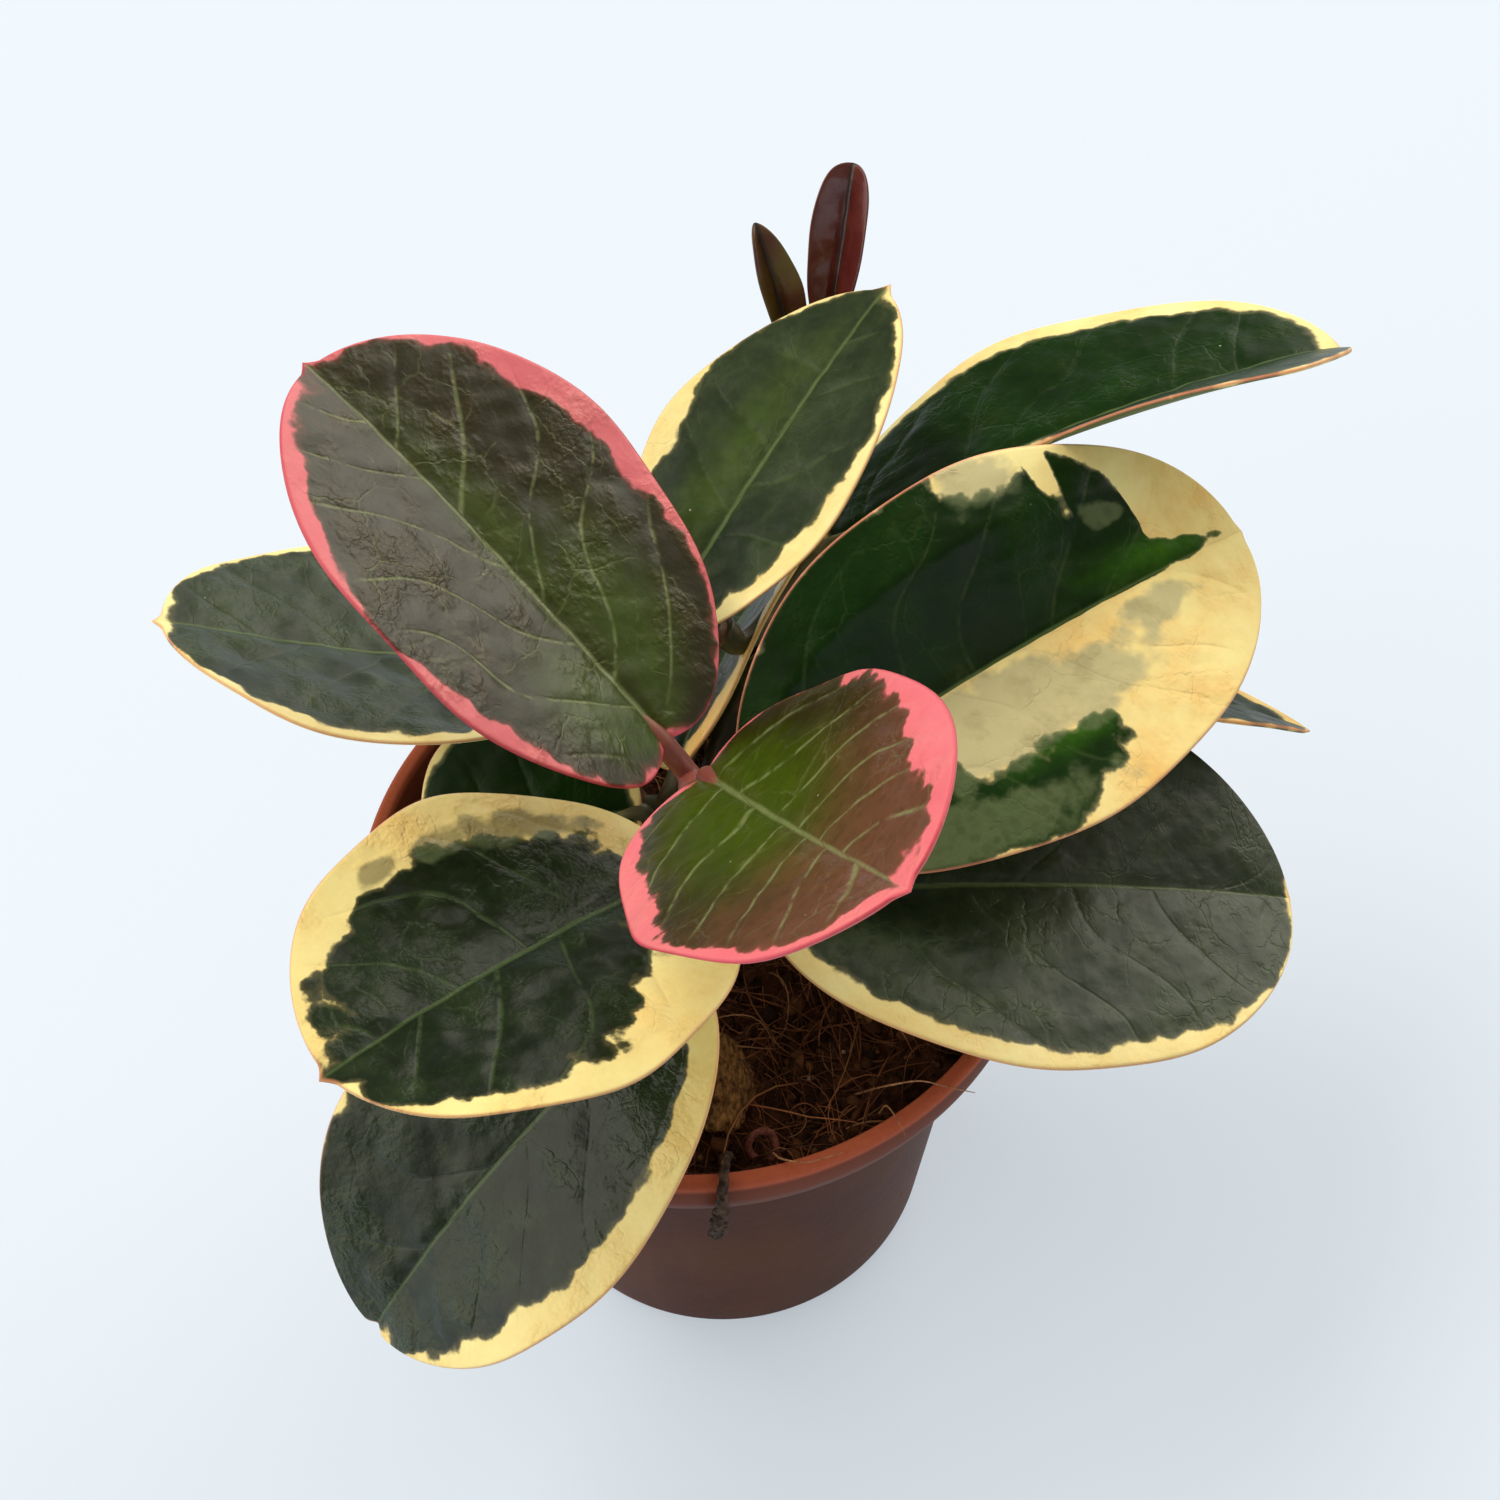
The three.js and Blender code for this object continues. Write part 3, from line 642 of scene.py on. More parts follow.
def many_skins(rings, tone, slot=0):
    """The skins of many rows of rings at once, an array (row, ring, round, xyz)."""
    rows, count, around = rings.shape[:3]
    one = skin(rings[0], slot)
    centres = rings[:, [0, -1]].mean(2)
    places = np.concatenate([rings.reshape(rows, -1, 3), centres], 1)
    shift = (np.arange(rows) * (count * around + 2))[:, None, None]
    tones = np.repeat(tone, count * around + 2)
    kept = np.stack([tones, tones, tones], -1)
    return {
        "places": places.reshape(-1, 3), "squares": (one["squares"] + shift).reshape(-1, 4),
        "fans": (one["fans"] + shift).reshape(-1, 3), "slot": slot, "kept": {"tone": kept},
    }


def scattered_fibres(count, seed, longest, thickest, highest):
    draw = np.random.default_rng(seed)
    radius = (SOIL_RADIUS - 1) * np.sqrt(draw.uniform(0, 1, count))
    turn = draw.uniform(0, 2 * math.pi, count)
    start = np.stack([radius * np.cos(turn), radius * np.sin(turn)], -1)
    length = longest * draw.uniform(0.25, 1, count)
    curl = draw.normal(0, 1.3, count)
    lift = highest * draw.uniform(0, 1, count) ** 2
    width = thickest * draw.uniform(0.4, 1, count)
    heading = draw.uniform(0, 2 * math.pi, count)
    rings = fibre_rings(start, heading, length, curl, lift, width)
    return many_skins(rings, draw.uniform(0, 1, count))


def fibre_finish():
    fibre = Finish("coir", specular_ior_level=0.35)
    tone = fibre.stored("tone")[0]
    spot = fibre.millimetres()
    streak = fibre.noise(spot, 0.8, 3)
    colour = fibre.blend(fibre.smooth(tone, 0.2, 1.0), paint(84, 46, 30), paint(190, 120, 76))
    colour = fibre.blend(fibre.smooth(tone, 0.9, 1.0), colour, paint(186, 140, 98))
    colour = fibre.blend(streak * 0.5, colour, paint(70, 38, 24))
    height = streak * 0.05
    return fibre.feed(base_color=colour, roughness=0.6, normal=fibre.bump(height))


fibre_paint = fibre_finish()
fibre_groups = [
    scattered_fibres(1500, 11, 13, 0.12, 2.6),
    scattered_fibres(340, 12, 22, 0.18, 4.4),
]
make_piece("coir_fibres", fibre_groups, [fibre_paint])

# %% [markdown]
# Crumbs of peat and a few pale grains lie on the mound. Each is a small stone of
# three rings, pulled out of shape and turned at random, which is enough at that size.

# %% Peat crumbs and pale specks
def crumb_skin(count, seed, smallest, biggest, raised, tone_low, tone_high):
    """Many rough crumbs: six-sided stones of three rings, each stretched and turned at
    random and dropped on the ground."""
    draw = np.random.default_rng(seed)
    turn = np.linspace(0, 2 * math.pi, 6, endpoint=False)
    high = np.array([-0.7, 0.0, 0.7])[:, None]
    wide = np.array([0.55, 1.0, 0.5])[:, None]
    stone = np.stack([wide * np.cos(turn), wide * np.sin(turn), high + 0 * turn], -1)
    size = smallest + (biggest - smallest) * draw.uniform(0, 1, count) ** 3
    stretch = draw.uniform(0.6, 1.3, (count, 1, 1, 3)) * size[:, None, None, None]
    shaped = stone * draw.uniform(0.75, 1.25, (count, 3, 6, 1)) * stretch
    turns, _ = np.linalg.qr(draw.normal(size=(count, 3, 3)))
    turns *= np.sign(np.linalg.det(turns))[:, None, None]
    shaped = np.einsum("nrak,nkj->nraj", shaped, turns)
    radius = (SOIL_RADIUS - 1.2) * np.sqrt(draw.uniform(0, 1, count))
    angle = draw.uniform(0, 2 * math.pi, count)
    x, y = radius * np.cos(angle), radius * np.sin(angle)
    centre = np.stack([x, y, broken_height(x, y) + raised * size], -1)
    return many_skins(shaped + centre[:, None, None], draw.uniform(tone_low, tone_high, count))


def crumb_finish():
    crumb = Finish("peat_crumbs", specular_ior_level=0.2)
    tone = crumb.stored("tone")[0]
    spot = crumb.millimetres()
    grain = crumb.noise(spot, 0.5, 4)
    colour = crumb.blend(crumb.smooth(tone, 0.0, 1.0), paint(38, 22, 14), paint(128, 82, 52))
    colour = crumb.blend(crumb.smooth(tone, 1.4, 1.6), colour, paint(214, 196, 176))
    colour = crumb.blend(grain * 0.45, colour, paint(40, 24, 16))
    return crumb.feed(base_color=colour, roughness=0.9, normal=crumb.bump(grain * 0.3))


crumb_paint = crumb_finish()
crumb_groups = [
    crumb_skin(1500, 21, 0.25, 1.3, 0.3, 0, 1),
    crumb_skin(26, 22, 0.25, 0.55, 0.9, 1.6, 2),
]
make_piece("peat_crumbs_loose", crumb_groups, [crumb_paint])

# %% [markdown]
# ## Stems
# Two woody stems come out of the mix. A ring of swelling marks each node, where a
# pair of leaves grows, and thin roots spread below. The young shoot at the rear is
# the same stem grown thinner. Paths repeat the CAD model's own points.

# %% Stem paths
def over_rim(x, y, height):
    return [x, y, POT_HEIGHT + height]


STEM_RADIUS = 1.9
FRONT_STEM = {
    "foot": over_rim(2, -3, -20), "low": over_rim(3, -14, 10),
    "middle": over_rim(5, -9, 17), "top": over_rim(1, -8, 27),
}
BACK_STEM = {
    "foot": over_rim(1, 4, -20), "collar": over_rim(-4, 5, -2), "low": over_rim(-7, 7, 3),
    "middle": over_rim(-8, 14, 11), "top": over_rim(4, 18, 23),
}
SHOOT_TIP = np.array(over_rim(17, 51, 31), float)
SPAN_STEPS = 30


def stem_skin(stem):
    """A rod through the stem's points, 1 mm past the top, swollen by a bell curve at
    each node and rounded off at the end."""
    points = np.array(list(stem.values()), float)
    path = smooth_path(points, SPAN_STEPS)
    past_top = unit(path[-1] - path[-2]) * np.array([[0.6], [1.0]])
    path = np.concatenate([path, path[-1:] + past_top])
    radius = np.full(len(path), STEM_RADIUS * 0.9)
    for node in points[1:]:
        away = np.linalg.norm(path - node, axis=1)
        radius += 0.5 * np.exp(-(away / 1.6) ** 2)
    radius[-2:] *= [0.75, 0.35]
    return rod(path, radius, 28, rough=0.04, size=2.5, seed=31)


def root_skins(foot, turned):
    """Three thin roots that bend outwards and down from a stem's foot."""
    skins = []
    for angle in (0, 120, 240):
        turn = math.radians(angle + turned)
        out = np.array([math.cos(turn), math.sin(turn), 0])
        drops = [(0, -1), (0.5, 10.2), (0.8, 22.1), (1, 34)]
        points = [np.array(foot) + 13 * share * out - [0, 0, down] for share, down in drops]
        path = smooth_path(points, 10)
        skins.append(rod(path, np.linspace(0.7, 0.4, len(path)), 8, rough=0.15, seed=angle))
    return skins


def stem_finish():
    stem = Finish("stem_bark", specular_ior_level=0.4)
    along, around, _ = stem.stored("rod")
    spot = stem.millimetres()
    streaks = stem.noise(stem.place(along * 0.25, around * 3, 0), 0.8, 4)
    blots = stem.noise(spot, 3, 3)
    colour = stem.blend(blots, paint(116, 66, 46), paint(84, 72, 34))
    colour = stem.blend(stem.smooth(streaks, 0.45, 0.75) * 0.6, colour, paint(150, 96, 66))
    warts = stem.smooth(stem.cells(spot, 1.4), 0.0, 0.2)
    colour = stem.blend(0.35 - warts * 0.35, colour, paint(178, 142, 104))
    height = streaks * 0.12 + (1 - warts) * 0.08
    return stem.feed(base_color=colour, roughness=0.55 - blots * 0.1, normal=stem.bump(height))


stem_paint = stem_finish()
front_skins = [stem_skin(FRONT_STEM), *root_skins(FRONT_STEM["foot"], -70)]
make_piece("front_stem_wood", front_skins, [stem_paint], ["front_stem"])

back_top = np.array(BACK_STEM["top"], float)
shoot_half = (back_top + SHOOT_TIP) / 2 + [0, 2, -1.5]
shoot_points = [back_top - [1, 0.6, 2], back_top + [1, 4, 0.5], shoot_half, SHOOT_TIP]
shoot_path = smooth_path(shoot_points, 22)
shoot_share = np.linspace(0, 1, len(shoot_path))
shoot_radius = np.interp(shoot_share, [0, 0.1, 0.9, 0.97, 1], [1.3, 1.1, 1.0, 1.2, 0.7])
shoot_skin = rod(shoot_path, shoot_radius, 20, rough=0.03)
back_skins = [stem_skin(BACK_STEM), shoot_skin, *root_skins(BACK_STEM["foot"], 20)]
make_piece("back_stem_wood", back_skins, [stem_paint], ["back_stem"])

# %% [markdown]
# ## Leaf shape
# A hoya leaf is a thick oval that is folded a little along its midrib and bends
# along its length. The surface is a function of two numbers: s runs from base to
# tip, and w from one rim to the other. The pale margin is a distance from the rim
# that varies along each side, and extra ovals add or take away patches of green.

# %% Leaf surface
LEAF_THICKNESS = 1.1
LEAF_EDGE = 0.5
ROWS = 150
ACROSS = 78


def outline_share(s, shoulder, point):
    """Half width as a share of the widest: s to the power of the shoulder, times the
    rest of the length to the power of the point."""
    widest = shoulder / (shoulder + point)
    return s ** shoulder * (1 - s) ** point / (widest ** shoulder * (1 - widest) ** point)


def blade_frame(leaf, s):
    """The midrib, an arc that turns steadily from the rise by the droop, with the
    directions along it, to the side and off the surface."""
    heading, rise, roll = (math.radians(leaf[key]) for key in ("heading", "rise", "roll"))
    bend = -math.radians(leaf["droop"]) or 1e-6
    slope = rise + bend * s
    level = np.array([math.cos(heading), math.sin(heading), 0])
    flat = np.array([-math.sin(heading), math.cos(heading), 0])
    tall = np.array([0, 0, 1.0])
    ahead = (np.sin(slope) - math.sin(rise)) / bend
    up = (math.cos(rise) - np.cos(slope)) / bend
    over = -np.sin(slope)[..., None] * level + np.cos(slope)[..., None] * tall
    along = np.cos(slope)[..., None] * level + np.sin(slope)[..., None] * tall
    side = math.cos(roll) * flat + math.sin(roll) * over
    off = math.cos(roll) * over - math.sin(roll) * flat
    run = ahead[..., None] * level + up[..., None] * tall
    return np.asarray(leaf["base"]) + leaf["length"] * run, along, side, off


print("a leaf has", ROWS, "rings of", 2 * ACROSS - 2, "points")

# %% [markdown]
# Everything about a leaf is worked out on its grid: how wide it is, how far a place
# lies from the rim, and how many side veins lie between it and the base. The same
# numbers raise and sink the surface and, kept on the mesh, steer the finish.

# %% Distances on a leaf
SIDE_VEIN = {"deep": 0.13, "wide": 0.7}
MIDRIB = {"deep": 0.42, "wide": 0.75}
UNDER_RIB = {"deep": 0.35, "wide": 0.9}
FOLD_ROUNDING = 0.8
EDGE_ROUNDING = 0.45


def blade_grid(rows, across):
    """Places ring by ring: s runs from base to tip in steps that shorten towards the
    ends, and w from rim to rim over the top, then back underneath, where face is -1."""
    t = np.linspace(1.2 / rows, 1 - 1.2 / rows, rows)
    s = (0.5 - 0.5 * np.cos(math.pi * t))[:, None]
    even = np.linspace(-1, 1, across)
    spread = 0.5 * np.sin(math.pi / 2 * even) + 0.5 * even
    w = np.concatenate([spread, spread[-2:0:-1]])[None]
    face = np.concatenate([np.ones(across), -np.ones(across - 2)])[None]
    return np.broadcast_arrays(s, w, face)


def half_width(leaf, s, w):
    """Half the width: the outline, drawn in near the base on a slim half, and uneven
    by a slow sine wave that runs differently along the two rims."""
    half = leaf["width"] / 2 * outline_share(s, leaf["shoulder"], leaf["point"])
    slim = leaf.get("slim", 1.0)
    half = half * np.where(w < 0, np.interp(s, [0, 0.45, 0.85, 1], [slim, slim, 1, 1]), 1)
    sway = 2.6 * s + 0.11 * leaf["seed"] + 0.3 * np.sign(w)
    return half * (1 + 0.012 * np.sin(2 * math.pi * sway))


def rim_distance(leaf, s, w, half):
    """Distance to the rim: the distances to the side and to the nearer end, multiplied
    and shared by the root of their squares' sum, so that the smaller one counts."""
    inward = (1 - np.abs(w)) * half
    ends = np.minimum(s, 1 - s) * leaf["length"] * 0.9
    return inward * ends / np.sqrt(inward ** 2 + ends ** 2 + 1e-6)


def vein_count(leaf, s, w, out):
    """Side veins between here and the base. They lean forwards from the midrib, bend a
    little further, stand half a step apart on the two sides, and drift."""
    reach = np.abs(out)
    along = s * leaf["length"]
    count = (along - leaf["lean"] * reach - 0.012 * reach ** 2) / leaf["vein_gap"]
    drift = 0.22 * ripple(np.stack([along, out], -1), 22, leaf["seed"] + 40)
    return count + 0.5 * (w > 0) + drift


def ovals(s, w, leaf, patches):
    """How far inside the nearest patch, in millimetres: one minus the distance from
    its middle as a share of its size, times its smaller size."""
    depth = np.full(s.shape, -30.0)
    for middle, side, long, wide in patches:
        share = np.hypot((s - middle) / long, (w - side) / wide)
        size = max(4.0, min(long * leaf["length"], wide * leaf["width"] / 2))
        depth = np.maximum(depth, (1 - share) * size)
    return depth


def margin_at(s, widths):
    """Width of the pale border: the listed widths stand at even steps, base to tip."""
    return np.interp(s, np.linspace(0, 1, len(widths)), widths)


def blade_zones(leaf, s, w, to_rim):
    """How far inside the green, a greyish wash (partly painted sheen) and a bright glow."""
    margin = np.where(w > 0, margin_at(s, leaf["left"]), margin_at(s, leaf["right"]))
    green = np.maximum(to_rim - margin, ovals(s, w, leaf, leaf.get("adds", ())))
    green = np.minimum(green, -ovals(s, w, leaf, leaf.get("cuts", ())))
    wash = ovals(s, w, leaf, leaf.get("grey_and_sheen_patches", ()))
    glow = np.clip(ovals(s, w, leaf, leaf.get("glows", ())) / 6, -1, 1)
    return np.stack([green, wash, glow], -1)


print("a margin of 1 to 3 mm is", float(margin_at(0.5, [1, 3])), "mm wide halfway")

# %% [markdown]
# A flat leaf looks cut from card, so the upper side is quilted between its veins,
# the rim waves, and the shell thins to a rounded edge. Real displacement is used and
# not only bump, because a glossy leaf shows its shape in every reflection.

# %% Leaf surface from its distances
def bell(reach, shape):
    """A furrow's or ridge's section: its depth times a bell curve of its width."""
    return shape["deep"] * np.exp(-(reach / shape["wide"]) ** 2)


def upper_relief(leaf, s, out, vein, to_rim):
    """The upper side's height off a smooth blade: furrows along the veins, and
    unevenness in two sizes that dies out within 5 mm of the rim."""
    reach = np.abs(out)
    flat = np.stack([s * leaf["length"], out], -1)
    off_vein = np.abs(vein - np.round(vein)) * leaf["vein_gap"]
    calm = np.clip(to_rim / 5, 0, 1)
    relief = -bell(off_vein, SIDE_VEIN) * calm * np.clip(reach / 2, 0, 1)
    relief -= bell(reach, MIDRIB) * np.clip(1.25 - s, 0, 1)
    relief += leaf.get("pucker", 0.1) * ripple(flat, 7.5, leaf["seed"] + 50) * calm
    relief += 0.05 * ripple(flat, 3.2, leaf["seed"] + 60) * calm
    return relief


def rim_wave(leaf, s, w):
    """The rim's rise and fall: a sine along the leaf times the cube of w."""
    turn = 2 * math.pi * (1.7 * s + 0.17 * leaf["seed"]) + np.sign(w)
    ends = np.clip(np.minimum(s, 1 - s) * 6, 0, 1)
    return leaf.get("wave", 0.5) * np.abs(w) ** 3 * np.sin(turn) * ends


def shell_height(s, w, face, to_rim, thickness, edge):
    """Half the thickness, up or down: it falls from the middle to the rim with w to the
    fourth, and a quarter circle closes the edge."""
    taper = np.clip(np.minimum(s, 1 - s) * 12, 0, 1)
    deep = edge + (thickness - edge) * (1 - w ** 4) * taper
    near = np.clip(to_rim / EDGE_ROUNDING, 0, 1)
    soften = np.sqrt(np.clip(1 - (1 - near) ** 2, 0, 1))
    return face * deep / 2 * np.where(np.isclose(np.abs(w), 1), 0, soften)


def past_ends(leaf, s, w, out, half):
    """How far the outline runs past its ends: a beak at the tip, and less the two
    lobes of a heart-shaped base."""
    lobe = leaf.get("lobe", 0.0) * w ** 2 * half / half.max() * np.exp(-s / 0.09)
    beak = leaf.get("beak", 0.0) * np.clip(1 - np.abs(out) / 1.6, 0, 1) ** 1.5
    return beak * np.clip((s - 0.965) / 0.035, 0, 1) - lobe


def along_sight(leaf, s, w, places):
    """Moves a blade a share of the way to the camera: back as a whole, or forwards on
    its left half, so that leaves which overlap in sight pass in the right order."""
    eye = np.array(camera.location) / MM
    left = np.clip(w * 1.6, 0, 1) * np.sin(math.pi * np.clip(s * 1.15, 0, 1))
    share = leaf.get("raise_left", 0.0) * left - leaf.get("set_back", 0.0)
    return places + (eye - places) * share[..., None]


def blade_rings(leaf, thickness=LEAF_THICKNESS, edge=LEAF_EDGE, rows=ROWS, across=ACROSS):
    """Rings round the leaf: the midrib point plus the half width times w to the side,
    raised by the fold, the rim's wave, the relief and half the thickness."""
    s, w, face = blade_grid(rows, across)
    half = half_width(leaf, s, w)
    out = half * w
    reach = np.abs(out)
    to_rim = rim_distance(leaf, s, w, half)
    vein = vein_count(leaf, s, w, out)
    rib, along, side, off = blade_frame(leaf, s)
    fold = math.radians(leaf["fold"])
    crease = np.sqrt(reach ** 2 + FOLD_ROUNDING ** 2) - FOLD_ROUNDING
    lift = crease * math.sin(fold) + rim_wave(leaf, s, w)
    lift = lift + upper_relief(leaf, s, out, vein, to_rim) * (face > 0)
    lift = lift + shell_height(s, w, face, to_rim, thickness, edge)
    lift = lift - np.where(face < 0, bell(reach, UNDER_RIB) * (1 - s), 0)
    places = rib + side * (out * math.cos(fold))[..., None] + off * lift[..., None]
    places = places + along * past_ends(leaf, s, w, out, half)[..., None]
    gap = np.broadcast_to(leaf["vein_gap"], s.shape)
    stored = {
        "blade": np.stack([s * leaf["length"], out, (face < 0).astype(float)], -1),
        "zones": blade_zones(leaf, s, w, to_rim),
        "lines": np.stack([vein, to_rim, gap], -1),
    }
    return along_sight(leaf, s, w, places), stored


STALK_RADIUS = 1.25
STALK_STATIONS = [0, 0.12, 0.3, 0.5, 0.62, 0.85, 1]
STALK_SWELL = [1.45, 1.3, 1, 1.04, 0.8, 0.45, 0.2]


def stalk_skin(leaf):
    """The stalk: a rod that leaves the stem square to its side, meets the blade's base
    and thins out along the underside of the midrib."""
    names = list(leaf["stem"])
    points = np.array(list(leaf["stem"].values()), float)
    at = names.index(leaf["node"])
    path = smooth_path(points, SPAN_STEPS)
    here = at * SPAN_STEPS
    axis = unit(path[min(here + 1, len(path) - 1)] - path[max(here - 1, 0)])
    step = np.array(leaf["stalk"], float)
    away = unit(step - axis * (step @ axis))
    node = points[at]
    rib, _, _, off = blade_frame(leaf, np.array([0.0, 5 / leaf["length"], 0.22]))
    rib = rib - (np.array(camera.location) / MM - rib) * leaf.get("set_back", 0.0)
    under = rib - off * np.array([[0.62], [0.75], [0.55]])
    line = smooth_path([node + away * 0.9, node + away * 3.6, *under], 14)
    share = np.linspace(0, 1, len(line))
    swell = np.interp(share, STALK_STATIONS, STALK_SWELL)
    return rod(line, swell * STALK_RADIUS, 20, rough=0.02, size=3, slot=1)


print("leaf surface ready")

# %% [markdown]
# ## Leaf finish
# Real leaves are layered: waxy skin over dark green, with cells that lost their
# green near the rim. The border between the two is ragged, sometimes with a greyish
# in-between layer. Grey wash patches are partly that layer and partly painted sheen.
# Pale veins run through the green, and the wax gives a soft coat.
# The masks below are distances kept on the mesh, made ragged by noise and cells.

# %% Leaf colours
MATURE = {
    "deep": paint(12, 30, 3), "core": paint(32, 50, 10), "bright": paint(70, 96, 10),
    "vein": paint(106, 124, 74), "wash": paint(158, 146, 98), "pale": paint(255, 228, 142),
    "warm": paint(244, 184, 96), "rim": paint(222, 150, 108), "below": paint(108, 122, 80),
    # dull: the grey that wash patches give the green, partly painted sheen
    "flush": paint(44, 56, 22), "dull": paint(96, 108, 72),
}
YOUNG = {
    "deep": paint(30, 28, 1), "core": paint(48, 42, 2), "bright": paint(66, 92, 1),
    "vein": paint(136, 146, 94), "wash": paint(160, 84, 70), "pale": paint(228, 104, 118),
    "warm": paint(232, 128, 126), "rim": paint(190, 58, 76), "below": paint(128, 120, 66),
    "flush": paint(60, 42, 10), "dull": paint(96, 76, 46),
}
GREYED = {
    **MATURE, "deep": paint(26, 38, 20), "core": paint(50, 62, 36), "flush": paint(62, 72, 46),
    "pale": paint(255, 242, 172), "warm": paint(250, 214, 132),
}
GLOSSY = {
    **MATURE, "deep": paint(12, 24, 9), "core": paint(32, 46, 22), "flush": paint(46, 58, 34),
    "vein": paint(86, 106, 62),
    "pale": paint(252, 236, 160), "warm": paint(244, 206, 122),
}
CREAMY = {
    **MATURE, "deep": paint(10, 34, 3), "core": paint(20, 52, 6), "wash": paint(198, 188, 142),
    "pale": paint(255, 240, 166), "warm": paint(246, 196, 112), "rim": paint(232, 150, 118),
    "flush": paint(34, 48, 10), "bright": paint(72, 128, 20),
}


DOT_GAP = 2.6


def vein_masks(leaf, spot, blade, lines, noises):
    """The midrib; the side veins, where their count is near a whole number; and a net
    of cell walls, whose cells are pushed about by noise so that no wall is straight."""
    drift, fray, clouds = noises
    along, across = blade
    vein, to_rim, gap = lines
    midrib = 1 - leaf.smooth(abs(across) + along * 0.004, 0.18, 0.55)
    side_vein = 1 - leaf.smooth(abs(leaf.off_whole(vein)) * gap, 0.04, 0.55)
    side_vein = side_vein * leaf.smooth(to_rim, 1.0, 5.0) * leaf.smooth(fray + drift, 0.7, 1.1)
    push = leaf.place(drift * 3, fray * 1.6, 0)
    warped = leaf.node("ShaderNodeVectorMath", {"operation": "ADD"}, {0: spot, 1: push})
    walls = leaf.cells(warped, 7.5, "DISTANCE_TO_EDGE")
    mesh = (1 - leaf.smooth(walls, 0.003, 0.028)) * leaf.smooth(to_rim, 0.6, 3.5)
    return midrib, side_vein, mesh * leaf.smooth(clouds + fray * 0.4, 0.55, 0.85)


def dot_masks(leaf, spot):
    """Dried drops and dust: a pale dot in one cell of ten, a dark one in one of twelve."""
    to_middle = leaf.cells(spot, DOT_GAP)
    pick = leaf.parts(leaf.cells(spot, DOT_GAP, out=1))[0]
    pale = (1 - leaf.smooth(to_middle, 0.02, 0.07)) * leaf.smooth(pick, 0.9, 0.92)
    dark = (1 - leaf.smooth(to_middle, 0.02, 0.06)) * (1 - leaf.smooth(pick, 0.07, 0.09))
    return pale, dark


